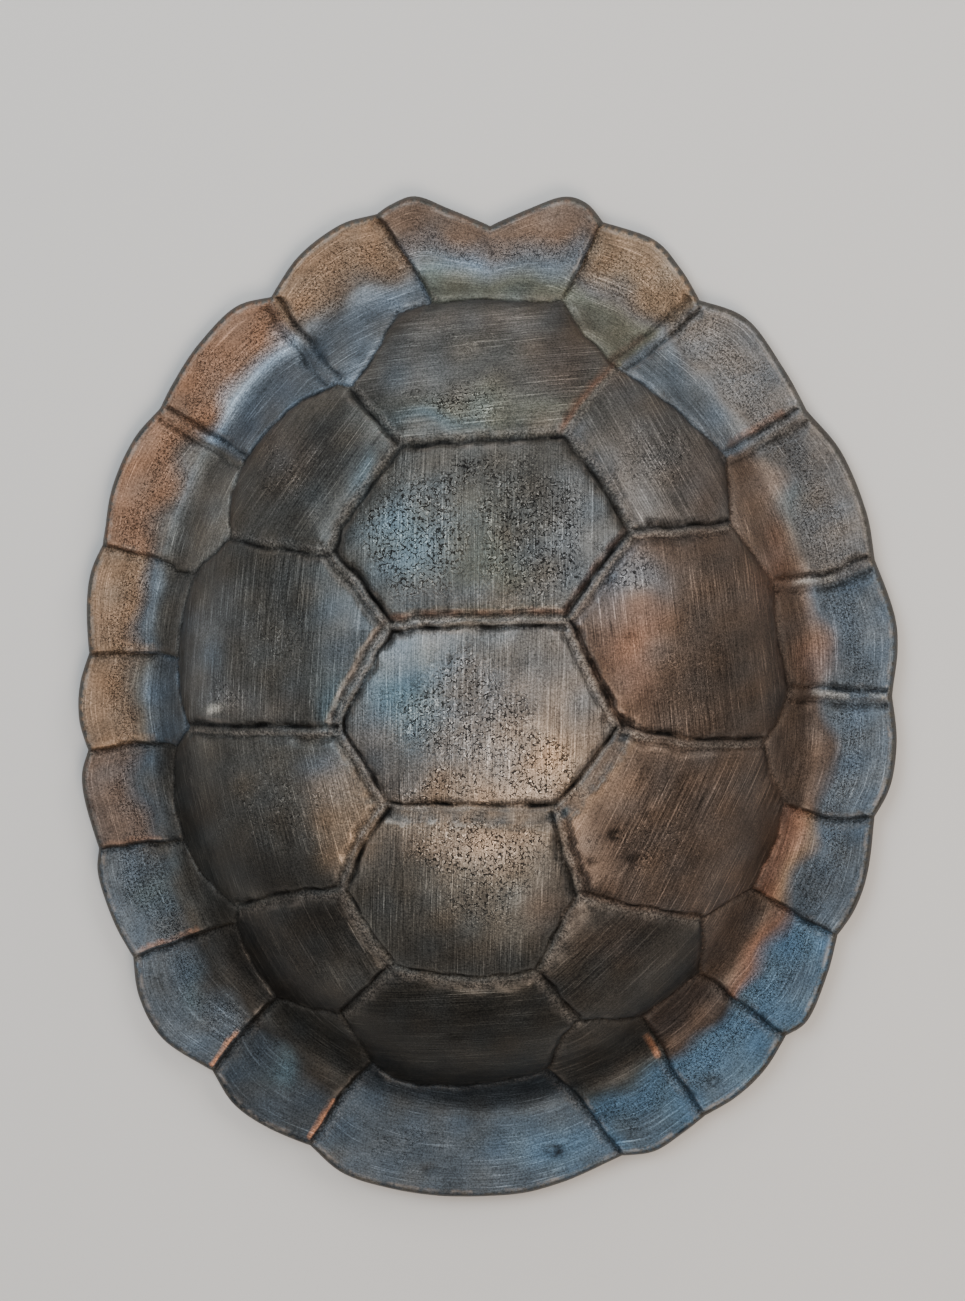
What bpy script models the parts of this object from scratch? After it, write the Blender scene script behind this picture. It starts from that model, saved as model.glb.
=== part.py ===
"""Sea turtle carapace, lying on its rim with the dome up.

One thin-walled casting-like body: a domed shield of 13 large scutes inside a brim of 20 small ones,
hollow underneath. +Y points to the head end, which has the notch, +X to the animal's right side as seen
from above, +Z up. Lengths are in millimetres until the finished mesh is scaled to metres.
"""

import math

import bmesh
import bpy
import numpy as np
from mathutils import Vector
from mathutils.geometry import delaunay_2d_cdt

NAME = "carapace"
MILLIMETRE = 0.001

# Driving dimensions of the smooth form
DOME_CENTRE = (-1.5, 4.5)  # middle of the oval where the dome meets the brim
DOME_HALF_WIDTH = 138.0
DOME_HALF_LENGTH = 176.0
DOME_HEIGHT = 98.0  # of the dome's smooth surface above the ground
DOME_FULLNESS = 2.2  # exponent across the dome: higher is flatter on top
DOME_SHOULDER = 0.588  # exponent up the dome: lower is steeper at its foot
DOME_REACH = 1.035  # the dome's curve would meet the ground this far out, in half widths
DOME_KNEE = 0.985  # past this share the dome runs straight on down
FOOT_FILLET = 20.0  # height over which the dome's foot blends into the brim
WALL = 7.0  # over the hollow's crown
SIDE_WALL = 10.0  # beside the hollow, measured level
HOLLOW_KNEE = 0.95
BRIM_GUTTER = 7.0  # top of the brim at its lowest
BRIM_LIFT = 7.0  # rise of the brim from there to its edge
BRIM_TURN = 0.3  # share of the brim's width where it starts to rise
BRIM_CURL = 1.6
LAND_END = 0.5  # share of the brim's width where its underside leaves the ground
LIP_UNDER = 6.0  # underside of the brim at its edge
RIM_WALL = ((2.4, 9.0), (1.4, 6.2))  # steps down the edge: how far out, and how high

# Grooves along the seams: half width at the top, half width of the floor, depth
GROOVES = {
    "wide": (3.2, 1.9, 2.4),
    "foot": (1.7, 0.6, 2.0),
    "brim": (2.8, 1.2, 2.2),
    "broad": (4.2, 2.4, 2.2),
    "rim": (1.4, 0.7, 0.8),
}
PILLOW = 1.6  # how far a scute's middle stands above its edges
PILLOW_REACH = 9.0
STEP = 1.2  # how far the dome's scutes stand above the brim's along the foot seam
LEAN = 2.0  # relief is cut between upright and square to the surface: higher is more upright

# How finely the surface is divided
SEAM_STEP = 7.5
RIM_STEP = 6.0
TOP_GRID = 11.5
HOLLOW_RINGS = (1, 0.95, 0.86, 0.75, 0.64, 0.52, 0.4, 0.28, 0.15)  # shares of the mouth
LAND_POINTS = 110  # around the mouth and the flat ring
SPARE_POINTS = 0.1  # share of them that each smaller ring of the hollow has beside its own share
CURVE_STEPS = 40  # between two points of a seam, before it is divided evenly
FINE_STEP = 1.0  # for measuring along a seam
SLOPE_STEP = 0.5  # for measuring how the surface leans
SHORTEST = 1.5  # edge left between two seams' points
WELD = 0.002
FLAT = 0.01  # anything lower is made level with the ground
TINY = 1e-6
CREASE = 35  # degrees: sharper edges are shaded as creases

# Dark patinated metal, brushed
METAL_COLOUR = (0.095, 0.085, 0.075, 1)
METALLIC = 0.85
ROUGHNESS = 0.42

# Corners where seams meet. l and r are the left and right side. l0 to l9 are the inner ends of the seams
# between brim scutes, from the head end back, and rim_l0 to rim_l9 their outer ends. v12 is the seam
# between the first and second scute of the middle row, c12 that between the first two beside it, and e12
# where that one reaches the brim.
CORNERS = {
    "v1_l": (-38, 175),
    "c1_l": (-56, 141.5),
    "v12_l": (-31.5, 116.5),
    "v12_r": (36.5, 120.5),
    "c12_l": (-61, 68.5),
    "c12_r": (65.5, 78),
    "v23_l": (-35.5, 39),
    "v23_r": (39.5, 41.5),
    "c23_l": (-57.5, -6),
    "c23_r": (62, -4.5),
    "v34_l": (-38, -38.5),
    "v34_r": (35.5, -39),
    "c34_l": (-58, -77),
    "c34_r": (46, -78.5),
    "v45_l": (-38.5, -112),
    "v45_r": (28, -113.5),
    "c45_l": (-63, -137.5),
    "c45_r": (43.5, -137),
    "e12_l": (-110, 76),
    "e12_r": (109.5, 81),
    "e23_l": (-130.5, -10),
    "e23_r": (124.5, -14.5),
    "e34_l": (-109.5, -91.5),
    "e34_r": (97.5, -92.5),
    "l0": (-23, 179),
    "l1": (-63, 142.5),
    "l2": (-106, 108.5),
    "l3": (-128.5, 59),
    "l4": (-137.5, 20.5),
    "l5": (-139, -20),
    "l6": (-137, -64.5),
    "l7": (-112, -100.5),
    "l8": (-95, -136),
    "l9": (-51, -164.5),
    "r0": (35, 180),
    "r1": (60, 149.5),
    "r2": (108, 110.5),
    "r3": (129.5, 54),
    "r4": (136.5, 6),
    "r5": (135, -44.5),
    "r6": (120.5, -83),
    "r7": (97.5, -121.5),
    "r8": (71.5, -139.5),
    "r9": (29, -165),
    "notch": (2.5, 211),
    "rim_l0": (-47.5, 217),
    "rim_l1": (-95, 180.5),
    "rim_l2": (-145, 131),
    "rim_l3": (-171.5, 70),
    "rim_l4": (-178, 21),
    "rim_l5": (-179, -23),
    "rim_l6": (-174.5, -68),
    "rim_l7": (-159, -117.5),
    "rim_l8": (-123.5, -169),
    "rim_l9": (-79, -202.5),
    "rim_r0": (51.5, 213),
    "rim_r1": (94.5, 178.5),
    "rim_r2": (142, 130),
    "rim_r3": (172.5, 64),
    "rim_r4": (181, 3.5),
    "rim_r5": (173.5, -50.5),
    "rim_r6": (157.5, -104),
    "rim_r7": (135, -149.5),
    "rim_r8": (99, -186.5),
    "rim_r9": (62, -205.5),
}

# Seams of each kind: from corner to corner, and what each passes through on its way
SEAMS = {
    "wide": (
        ("c1_l", "v12_l", (-43, 128.5)),
        ("r1", "v12_r", (48, 136)),
        ("v12_l", "v12_r", (3.5, 119.5)),
        ("v12_l", "c12_l", (-45.5, 97), (-56, 82)),
        ("v12_r", "c12_r", (48, 105), (58, 91)),
        ("e12_l", "c12_l", (-92.5, 71.5)),
        ("c12_r", "e12_r", (87.5, 80)),
        ("c12_l", "v23_l", (-50, 57)),
        ("c12_r", "v23_r", (52.5, 60)),
        ("v23_l", "v23_r", (3, 41.5)),
        ("v23_l", "c23_l", (-47.5, 18.5), (-56.5, 1)),
        ("v23_r", "c23_r", (50.5, 18.5)),
        ("e23_l", "c23_l", (-94, -7.5)),
        ("c23_r", "e23_r", (90, -11)),
        ("c23_l", "v34_l", (-46.5, -24.5)),
        ("c23_r", "v34_r", (49.5, -22)),
        ("v34_l", "v34_r", (-1.5, -39.5)),
        ("v34_l", "c34_l", (-48.5, -55)),
        ("v34_r", "c34_r", (41.5, -58.5)),
        ("e34_l", "c34_l", (-84.5, -82.5)),
        ("c34_r", "e34_r", (70.5, -86.5)),
        ("c34_l", "v45_l", (-48, -95.5)),
        ("c34_r", "v45_r", (35.5, -98.5)),
        ("v45_l", "v45_r", (-5, -117.5)),
        ("v45_l", "c45_l", (-51.5, -124)),
        ("v45_r", "c45_r", (36, -125)),
    ),
    "foot": (
        ("v1_l", "l0"),
        ("l0", "r0", (-3.5, 180.5), (20.5, 179.5)),
        ("v1_l", "c1_l", (-43, 166.5), (-50, 152)),
        ("r0", "r1", (47.5, 164)),
        ("c45_l", "l9", (-58, -151.5)),
        ("c45_r", "r9", (36.5, -150)),
        ("l9", "r9", (-38.5, -173.5), (-11, -174.5), (14.5, -169.5)),
        ("c1_l", "l1"),
        ("l1", "l2", (-80, 135.5), (-95.5, 122.5)),
        ("l2", "e12_l", (-111, 91.5)),
        ("e12_l", "l3", (-119.5, 67)),
        ("l3", "l4", (-134.5, 40)),
        ("l4", "e23_l", (-135.5, 4)),
        ("e23_l", "l5"),
        ("l5", "l6", (-141.5, -43)),
        ("l6", "e34_l", (-128.5, -82.5)),
        ("e34_l", "l7"),
        ("l7", "l8", (-106.5, -118)),
        ("l8", "c45_l", (-80.5, -138)),
        ("r1", "r2", (78.5, 137), (96, 122.5)),
        ("r2", "e12_r", (110, 95)),
        ("e12_r", "r3", (120.5, 67.5)),
        ("r3", "r4", (133.5, 29.5)),
        ("r4", "e23_r", (132, -5)),
        ("e23_r", "r5", (130.5, -29)),
        ("r5", "r6", (130, -65)),
        ("r6", "e34_r", (109.5, -88.5)),
        ("e34_r", "r7", (97.5, -106.5)),
        ("r7", "r8", (85, -130.5)),
        ("r8", "c45_r", (56.5, -139.5)),
    ),
    "brim": (
        ("rim_l0", "l0", (-36.5, 201.5)),
        ("rim_l3", "l3", (-152.5, 65)),
        ("rim_l4", "l4", (-160.5, 21)),
        ("rim_l5", "l5", (-160.5, -21.5)),
        ("rim_l6", "l6", (-155.5, -67)),
        ("rim_l7", "l7", (-136.5, -109)),
        ("rim_l8", "l8", (-109.5, -151.5)),
        ("rim_l9", "l9", (-66, -183)),
        ("rim_r0", "r0", (44.5, 195)),
        ("rim_r5", "r5", (155, -51)),
        ("rim_r6", "r6", (141.5, -94.5)),
        ("rim_r7", "r7", (117, -137.5)),
        ("rim_r8", "r8", (85.5, -167.5)),
        ("rim_r9", "r9", (45, -185.5)),
    ),
    "broad": (
        ("rim_l1", "l1", (-82.5, 162)),
        ("rim_l2", "l2", (-128, 120)),
        ("rim_r1", "r1", (79.5, 162.5)),
        ("rim_r2", "r2", (124, 120)),
        ("rim_r3", "r3", (151.5, 56.5)),
        ("rim_r4", "r4", (159, 4)),
    ),
    "rim": (
        ("rim_r0", "notch", (44, 221.5), (34.5, 224), (20.5, 219)),
        ("notch", "rim_l0", (-17.5, 219.5), (-31, 224.5), (-40.5, 221.5)),
        ("rim_l0", "rim_l1", (-64.5, 212), (-82.5, 198.5)),
        ("rim_l1", "rim_l2", (-112, 175.5), (-128, 159.5), (-139, 142.5)),
        ("rim_l2", "rim_l3", (-157.5, 116.5), (-167, 95.5)),
        ("rim_l3", "rim_l4", (-177, 57), (-179, 40.5)),
        ("rim_l4", "rim_l5", (-182.5, 6.5), (-183, -8)),
        ("rim_l5", "rim_l6", (-182, -38.5)),
        ("rim_l6", "rim_l7", (-175, -80.5), (-168.5, -100.5)),
        ("rim_l7", "rim_l8", (-156.5, -136), (-146, -154.5)),
        ("rim_l8", "rim_l9", (-113.5, -184.5), (-98, -195)),
        ("rim_l9", "rim_r9", (-61.5, -216.5), (-30, -224), (7, -224.5), (34.5, -218)),
        ("rim_r9", "rim_r8", (76.5, -203), (88.5, -195)),
        ("rim_r8", "rim_r7", (113.5, -177.5), (126, -165)),
        ("rim_r7", "rim_r6", (145, -142), (153, -122.5)),
        ("rim_r6", "rim_r5", (165.5, -91.5), (171, -74.5)),
        ("rim_r5", "rim_r4", (180.5, -36), (183, -16.5)),
        ("rim_r4", "rim_r3", (183, 24.5), (181.5, 40)),
        ("rim_r3", "rim_r2", (168.5, 86), (157.5, 111.5)),
        ("rim_r2", "rim_r1", (131.5, 149), (116, 170)),
        ("rim_r1", "rim_r0", (86, 192.5), (74, 205.5)),
    ),
}

# The corners along the dome's foot, clockwise from above
FOOT = (
    "l0 r0 r1 r2 e12_r r3 r4 e23_r r5 r6 e34_r r7 r8 c45_r r9 "
    "l9 c45_l l8 l7 e34_l l6 l5 e23_l l4 l3 e12_l l2 l1 c1_l v1_l"
)

# Each scute's corners, counterclockwise from above
SCUTES = {
    "nuchal": "rim_r0 notch rim_l0 l0 r0",
    "vertebral_1": "v1_l c1_l v12_l v12_r r1 r0 l0",
    "vertebral_2": "v12_l c12_l v23_l v23_r c12_r v12_r",
    "vertebral_3": "v23_l c23_l v34_l v34_r c23_r v23_r",
    "vertebral_4": "v34_l c34_l v45_l v45_r c34_r v34_r",
    "vertebral_5": "v45_l c45_l l9 r9 c45_r v45_r",
    "costal_left_1": "c1_l l1 l2 e12_l c12_l v12_l",
    "costal_left_2": "c12_l e12_l l3 l4 e23_l c23_l v23_l",
    "costal_left_3": "c23_l e23_l l5 l6 e34_l c34_l v34_l",
    "costal_left_4": "c34_l e34_l l7 l8 c45_l v45_l",
    "costal_right_1": "v12_r c12_r e12_r r2 r1",
    "costal_right_2": "c12_r v23_r c23_r e23_r r4 r3 e12_r",
    "costal_right_3": "c23_r v34_r c34_r e34_r r6 r5 e23_r",
    "costal_right_4": "c34_r v45_r c45_r r8 r7 e34_r",
    "marginal_left_1": "rim_l0 rim_l1 l1 c1_l v1_l l0",
    "marginal_left_2": "rim_l1 rim_l2 l2 l1",
    "marginal_left_3": "rim_l2 rim_l3 l3 e12_l l2",
    "marginal_left_4": "rim_l3 rim_l4 l4 l3",
    "marginal_left_5": "rim_l4 rim_l5 l5 e23_l l4",
    "marginal_left_6": "rim_l5 rim_l6 l6 l5",
    "marginal_left_7": "rim_l6 rim_l7 l7 e34_l l6",
    "marginal_left_8": "rim_l7 rim_l8 l8 l7",
    "marginal_left_9": "rim_l8 rim_l9 l9 c45_l l8",
    "marginal_right_1": "rim_r1 rim_r0 r0 r1",
    "marginal_right_2": "rim_r2 rim_r1 r1 r2",
    "marginal_right_3": "rim_r3 rim_r2 r2 e12_r r3",
    "marginal_right_4": "rim_r4 rim_r3 r3 r4",
    "marginal_right_5": "rim_r5 rim_r4 r4 e23_r r5",
    "marginal_right_6": "rim_r6 rim_r5 r5 r6",
    "marginal_right_7": "rim_r7 rim_r6 r6 e34_r r7",
    "marginal_right_8": "rim_r8 rim_r7 r7 r8",
    "marginal_right_9": "rim_r9 rim_r8 r8 c45_r r9",
    "pygal": "rim_l9 rim_r9 r9 l9",
}


def spline(points, step):
    """A smooth curve through the points, with a point about every step."""
    points = np.asarray(points, float)
    ends = (2 * points[0] - points[1], 2 * points[-1] - points[-2])
    held = np.vstack([ends[0], points, ends[1]])
    dense = []
    for a, b, c, d in zip(held, held[1:], held[2:], held[3:]):
        t = np.linspace(0, 1, CURVE_STEPS, endpoint=False)[:, None]
        curve = 2 * b + (c - a) * t + (2 * a - 5 * b + 4 * c - d) * t**2 + (3 * b - a - 3 * c + d) * t**3
        dense.append(curve / 2)
    return resampled(np.vstack(dense + [points[-1:]]), step)


def resampled(line, step):
    """The same line with evenly spaced points, its ends kept."""
    travel = np.concatenate([[0], np.cumsum(np.linalg.norm(np.diff(line, axis=0), axis=1))])
    count = max(1, round(travel[-1] / step))
    at = np.linspace(0, travel[-1], count + 1)
    return np.column_stack([np.interp(at, travel, line[:, axis]) for axis in (0, 1)])


def gap(places, line):
    """Distance from each place to a line."""
    start = line[:-1]
    along = line[1:] - start
    length = np.maximum((along**2).sum(1), TINY)
    offset = places[:, None, :] - start
    share = np.clip((offset * along).sum(2) / length, 0, 1)
    return np.linalg.norm(offset - share[:, :, None] * along, axis=2).min(1)


def seam_lines():
    """Every seam as a finely divided line, with its kind, by its pair of corners."""
    lines = {}
    for kind, seams in SEAMS.items():
        for first, last, *between in seams:
            line = spline([CORNERS[first], *between, CORNERS[last]], FINE_STEP)
            lines[first, last] = (kind, line)
            lines[last, first] = (kind, line[::-1])
    return lines


def sides_of(corners, lines):
    """The kind and line of each seam around a ring of corners."""
    corners = corners.split()
    return [lines[pair] for pair in zip(corners, corners[1:] + corners[:1])]


def inset(sides, level, step):
    """The loop that runs inside a scute's sides at a groove's top (level 0) or floor (level 1)."""
    loop = []
    for kind, line in sides:
        along = np.gradient(line, axis=0)
        inward = np.column_stack([-along[:, 1], along[:, 0]])
        inward /= np.linalg.norm(inward, axis=1)[:, None]
        moved = line + inward * GROOVES[kind][level]
        clear = np.ones(len(moved), bool)
        for other_kind, other in sides:
            if other is not line:
                clear &= gap(moved, other) >= GROOVES[other_kind][level] - TINY
        kept = moved[clear]
        if len(kept) > 1:
            loop.extend(resampled(kept, step))
    loop = np.array(loop)
    far = np.linalg.norm(loop - np.roll(loop, 1, axis=0), axis=1) > min(SHORTEST, step / 2)
    return loop[far]


def rim_loop(lines, step):
    """The brim's outline, counterclockwise, with its kinks kept."""
    loop = []
    for first, last, *_ in SEAMS["rim"]:
        loop.extend(resampled(lines[first, last][1], step)[:-1])
    return np.array(loop)


def smooth_max(a, b, reach):
    """The higher of two heights, blended where they are within reach of each other."""
    near = np.maximum(reach - np.abs(a - b), 0) / reach
    return np.maximum(a, b) + near**2 * reach / 4


def across(places, half_width, half_length):
    """0 at the dome's centre, 1 on the oval with these half sides."""
    offset = places - DOME_CENTRE
    return np.hypot(offset[:, 0] / half_width, offset[:, 1] / half_length)


def brim_share(places, rim):
    """0 at the dome's foot, 1 at the brim's edge, along each ray from the dome's centre."""
    offset = places - DOME_CENTRE
    edge = rim - DOME_CENTRE
    turn = np.arctan2(edge[:, 1], edge[:, 0])
    reach = np.interp(
        np.arctan2(offset[:, 1], offset[:, 0]), turn, np.hypot(*edge.T), period=2 * math.pi
    )
    foot = np.hypot(*offset.T) / np.maximum(across(places, DOME_HALF_WIDTH, DOME_HALF_LENGTH), TINY)
    return (np.hypot(*offset.T) - foot) / (reach - foot)


def vault(share, height, knee):
    """Height of a dome whose curve runs straight on past its knee."""

    def curve(at):
        return height * (1 - (at / DOME_REACH) ** DOME_FULLNESS) ** DOME_SHOULDER

    slope = (curve(knee + TINY) - curve(knee)) / TINY
    return curve(np.minimum(share, knee)) + slope * np.maximum(share - knee, 0)


def top_form(places, rim):
    """Height of the outside before any relief: the dome, blended into a brim that turns up at its edge."""
    dome = vault(across(places, DOME_HALF_WIDTH, DOME_HALF_LENGTH), DOME_HEIGHT, DOME_KNEE)
    turn = np.clip((brim_share(places, rim) - BRIM_TURN) / (1 - BRIM_TURN), 0, 1)
    return smooth_max(dome, BRIM_GUTTER + BRIM_LIFT * turn**BRIM_CURL, FOOT_FILLET)


def hollow_form(share):
    """Height of the hollow's roof, with share 0 at its middle and 1 on the inner wall's oval."""
    return vault(share, DOME_HEIGHT - WALL, HOLLOW_KNEE)


def under_form(places, rim):
    """Height of the underside: the hollow, the flat land that it rests on, and the lip's rise."""
    hollow = hollow_form(across(places, DOME_HALF_WIDTH - SIDE_WALL, DOME_HALF_LENGTH - SIDE_WALL))
    lift = np.clip((brim_share(places, rim) - LAND_END) / (1 - LAND_END), 0, 1)
    height = np.maximum(hollow, LIP_UNDER * lift**BRIM_CURL)
    return np.where(height < FLAT, 0, height)


def inside(places, loop):
    """Which places lie inside a loop: a line to the right from one crosses it an odd number of times."""
    start, end = loop, np.roll(loop, -1, axis=0)
    rise = end - start
    spans = (start[:, 1] > places[:, None, 1]) != (end[:, 1] > places[:, None, 1])
    level = np.where(rise[:, 1] == 0, 1, rise[:, 1])
    crossing = start[:, 0] + (places[:, None, 1] - start[:, 1]) / level * rise[:, 0]
    return (spans & (crossing > places[:, None, 0])).sum(1) % 2 == 1


def relief(places, lines):
    """How far the surface stands above the smooth form: each scute a low pillow, each seam a groove."""
    cut = np.zeros(len(places))
    clear = np.full(len(places), np.inf)
    for kind, seams in SEAMS.items():
        top, floor, depth = GROOVES[kind]
        for first, last, *_ in seams:
            away = gap(places, lines[first, last][1])
            cut = np.maximum(cut, depth * np.clip((top - away) / (top - floor), 0, 1))
            clear = np.minimum(clear, away - top)
    foot = np.vstack([line[:-1] for _, line in sides_of(FOOT, lines)])
    pillow = PILLOW * (1 - np.exp(-np.maximum(clear, 0) / PILLOW_REACH))
    return pillow - cut + STEP * inside(places, foot)


def raised(places, lines, rim):
    """The outside's points: the smooth form with its relief."""
    height = top_form(places, rim)
    slope_x = (top_form(places + (SLOPE_STEP, 0), rim) - height) / SLOPE_STEP
    slope_y = (top_form(places + (0, SLOPE_STEP), rim) - height) / SLOPE_STEP
    square = np.column_stack([-slope_x, -slope_y, np.ones(len(places))])
    square /= np.linalg.norm(square, axis=1)[:, None]
    way = square + (0, 0, LEAN)
    way /= np.linalg.norm(way, axis=1)[:, None]
    return np.column_stack([places, height]) + way * relief(places, lines)[:, None]


def grid(rim, spacing, lines, clearance):
    """Evenly spread places inside the rim that stay clear of the given lines."""
    low, high = rim.min(0), rim.max(0)
    rows = np.arange(low[1], high[1], spacing * math.sqrt(3) / 2)
    places = np.array(
        [
            (x, y)
            for number, y in enumerate(rows)
            for x in np.arange(low[0] + spacing / 2 * (number % 2), high[0], spacing)
        ]
    )
    places = places[brim_share(places, rim) < 1]
    for line in lines:
        places = places[gap(places, line) > clearance]
    return places


def closed(loop):
    """The loop as a line that ends where it starts."""
    return np.vstack([loop, loop[:1]])


def sheet(outline, loops, spots):
    """A triangulated plan inside the outline, with an edge along every loop."""
    places = [Vector(place) for place in outline]
    edges = []
    for loop in loops:
        first = len(places)
        places.extend(Vector(place) for place in loop)
        edges.extend((first + i, first + (i + 1) % len(loop)) for i in range(len(loop)))
    places.extend(Vector(place) for place in spots)
    found = delaunay_2d_cdt(places, edges, [list(range(len(outline)))], 1, TINY)
    return np.array([place[:] for place in found[0]]), found[2]


def add_sheet(body, points, faces, flipped):
    """Adds a plan's faces, now at their heights. Flipped ones face down."""
    corners = [body.verts.new(point) for point in points]
    for face in faces:
        ring = [corners[i] for i in face]
        body.faces.new(ring[::-1] if flipped else ring)


def outward(loop):
    """The direction out of a counterclockwise loop at each of its points."""
    along = np.roll(loop, -1, axis=0) - np.roll(loop, 1, axis=0)
    side = np.column_stack([along[:, 1], -along[:, 0]])
    return side / np.linalg.norm(side, axis=1)[:, None]


def brim_ring(rim, share, count):
    """An even ring of places this share of the way from the dome's foot to the brim's edge."""
    turn = np.linspace(-math.pi, math.pi, count, endpoint=False)
    way = np.column_stack([np.cos(turn), np.sin(turn)])
    foot = 1 / across(way + DOME_CENTRE, DOME_HALF_WIDTH, DOME_HALF_LENGTH)
    edge = rim - DOME_CENTRE
    reach = np.interp(turn, np.arctan2(edge[:, 1], edge[:, 0]), np.hypot(*edge.T), period=2 * math.pi)
    return DOME_CENTRE + way * (foot + share * (reach - foot))[:, None]


def oval(share, count):
    """An even ring of places around the hollow, at this share of its half sides."""
    turn = np.linspace(0, 2 * math.pi, count, endpoint=False)
    half_width, half_length = DOME_HALF_WIDTH - SIDE_WALL, DOME_HALF_LENGTH - SIDE_WALL
    return DOME_CENTRE + share * np.column_stack([half_width * np.cos(turn), half_length * np.sin(turn)])


def make_outside(body, lines, rim):
    """The scutes and the grooves between them, seen from above."""
    tops = [inset(sides_of(SCUTES[scute], lines), 0, SEAM_STEP) for scute in SCUTES]
    floors = [inset(sides_of(SCUTES[scute], lines), 1, SEAM_STEP) for scute in SCUTES]
    spots = grid(rim, TOP_GRID, [closed(loop) for loop in tops + floors], TOP_GRID / 2)
    plan, faces = sheet(rim, tops + floors, spots)
    add_sheet(body, raised(plan, lines, rim), faces, flipped=False)


def make_edge(body, lines, rim):
    """The brim's edge, which widens downwards. Returns the outline of its lower side."""
    rings = [raised(rim, lines, rim)]
    for out, height in RIM_WALL:
        ring = rim + outward(rim) * out
        rings.append(np.column_stack([ring, np.full(len(ring), height)]))
    for upper, lower in zip(rings, rings[1:]):
        above = [body.verts.new(point) for point in upper]
        below = [body.verts.new(point) for point in lower]
        for i in range(len(above)):
            body.faces.new((above[i - 1], below[i - 1], below[i], above[i]))
    return rings[-1]


def make_underside(body, rim, lip):
    """The hollow and the flat ring around it that the shell rests on."""
    drop = hollow_form(HOLLOW_KNEE) - hollow_form(HOLLOW_KNEE + 1)
    reach = HOLLOW_KNEE + hollow_form(HOLLOW_KNEE) / drop
    rings = [
        oval(reach * share, round(LAND_POINTS * min(1, share + SPARE_POINTS))) for share in HOLLOW_RINGS
    ]
    rings += [brim_ring(rim, share, LAND_POINTS) for share in (LAND_END, (LAND_END + 1) / 2)]
    plan, faces = sheet(lip[:, :2], rings, [DOME_CENTRE])
    points = np.column_stack([plan, under_form(plan, rim)])
    points[: len(lip)] = lip
    add_sheet(body, points, faces, flipped=True)


def make_body():
    """The whole shell as one closed mesh in metres, centred on its bounding box."""
    lines = seam_lines()
    rim = rim_loop(lines, RIM_STEP)
    body = bmesh.new()
    make_outside(body, lines, rim)
    lip = make_edge(body, lines, rim)
    make_underside(body, rim, lip)
    bmesh.ops.remove_doubles(body, verts=body.verts, dist=WELD)
    places = np.array([vertex.co[:] for vertex in body.verts])
    middle = (places.min(0) + places.max(0)) / 2
    bmesh.ops.translate(body, vec=(-middle[0], -middle[1], 0), verts=body.verts)
    bmesh.ops.scale(body, vec=(MILLIMETRE,) * 3, verts=body.verts)
    return body


def make_material():
    """The dark patinated metal."""
    material = bpy.data.materials.new("dark_patinated_metal")
    material.use_nodes = True
    shader = material.node_tree.nodes["Principled BSDF"]
    shader.inputs["Base Color"].default_value = METAL_COLOUR
    shader.inputs["Metallic"].default_value = METALLIC
    shader.inputs["Roughness"].default_value = ROUGHNESS
    return material


def main():
    for old in list(bpy.data.objects):
        bpy.data.objects.remove(old, do_unlink=True)
    collection = bpy.data.collections.new("sea_turtle_shell")
    bpy.context.scene.collection.children.link(collection)
    mesh = bpy.data.meshes.new(NAME)
    body = make_body()
    body.to_mesh(mesh)
    body.free()
    mesh.materials.append(make_material())
    mesh.shade_smooth()
    mesh.set_sharp_from_angle(angle=math.radians(CREASE))
    collection.objects.link(bpy.data.objects.new(NAME, mesh))


main()
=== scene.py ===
"""A sea turtle's shell cast in dark metal, lying dome up on a pale floor and seen from above."""

import math

import bpy
import numpy as np
from mathutils import Matrix, Vector
from mathutils.geometry import delaunay_2d_cdt


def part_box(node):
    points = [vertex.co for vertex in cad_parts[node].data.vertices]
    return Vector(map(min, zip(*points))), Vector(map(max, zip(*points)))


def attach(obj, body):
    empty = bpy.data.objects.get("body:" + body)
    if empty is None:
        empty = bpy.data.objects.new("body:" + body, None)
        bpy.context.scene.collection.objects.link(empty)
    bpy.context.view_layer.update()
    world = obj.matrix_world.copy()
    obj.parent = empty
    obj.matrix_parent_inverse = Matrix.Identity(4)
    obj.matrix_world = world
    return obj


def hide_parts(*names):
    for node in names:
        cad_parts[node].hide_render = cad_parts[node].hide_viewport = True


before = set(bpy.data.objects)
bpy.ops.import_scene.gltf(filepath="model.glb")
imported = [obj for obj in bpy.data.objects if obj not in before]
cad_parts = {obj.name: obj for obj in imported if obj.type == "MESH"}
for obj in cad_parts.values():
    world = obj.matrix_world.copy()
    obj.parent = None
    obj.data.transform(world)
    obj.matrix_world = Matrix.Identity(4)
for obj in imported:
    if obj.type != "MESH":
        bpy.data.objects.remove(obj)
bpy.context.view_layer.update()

# ---------------------------------------
# The carapace's form: a domed shield of 13 large scutes inside a brim of 20 small ones that turns up at its
# edge, in one thin-walled casting. Lengths are in millimetres until the mesh is made, x to the animal's right
# side, y to its head, z up from the flat ring that it rests on.

DOME_CENTRE = (-1.5, 4.5)
DOME_HALF_WIDTH = 138.0
DOME_HALF_LENGTH = 176.0
DOME_HEIGHT = 98.0
DOME_FULLNESS = 2.2  # exponent across the dome: higher is flatter on top
DOME_SHOULDER = 0.588  # exponent up the dome: lower is steeper at its foot
DOME_REACH = 1.035  # the dome's curve would meet the ground this far out, in half widths
DOME_KNEE = 0.985  # past this share the dome runs straight on down
FOOT_FILLET = 20.0
WALL = 7.0
SIDE_WALL = 10.0
HOLLOW_KNEE = 0.95
BRIM_GUTTER = 7.0  # top of the brim at its lowest
BRIM_LIFT = 7.0  # rise of the brim from there to its edge
BRIM_TURN = 0.3  # share of the brim's width where it starts to rise
BRIM_CURL = 1.6
LAND_END = 0.5  # share of the brim's width where its underside leaves the ground
LIP_UNDER = 6.0
TINY = 1e-6


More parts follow.
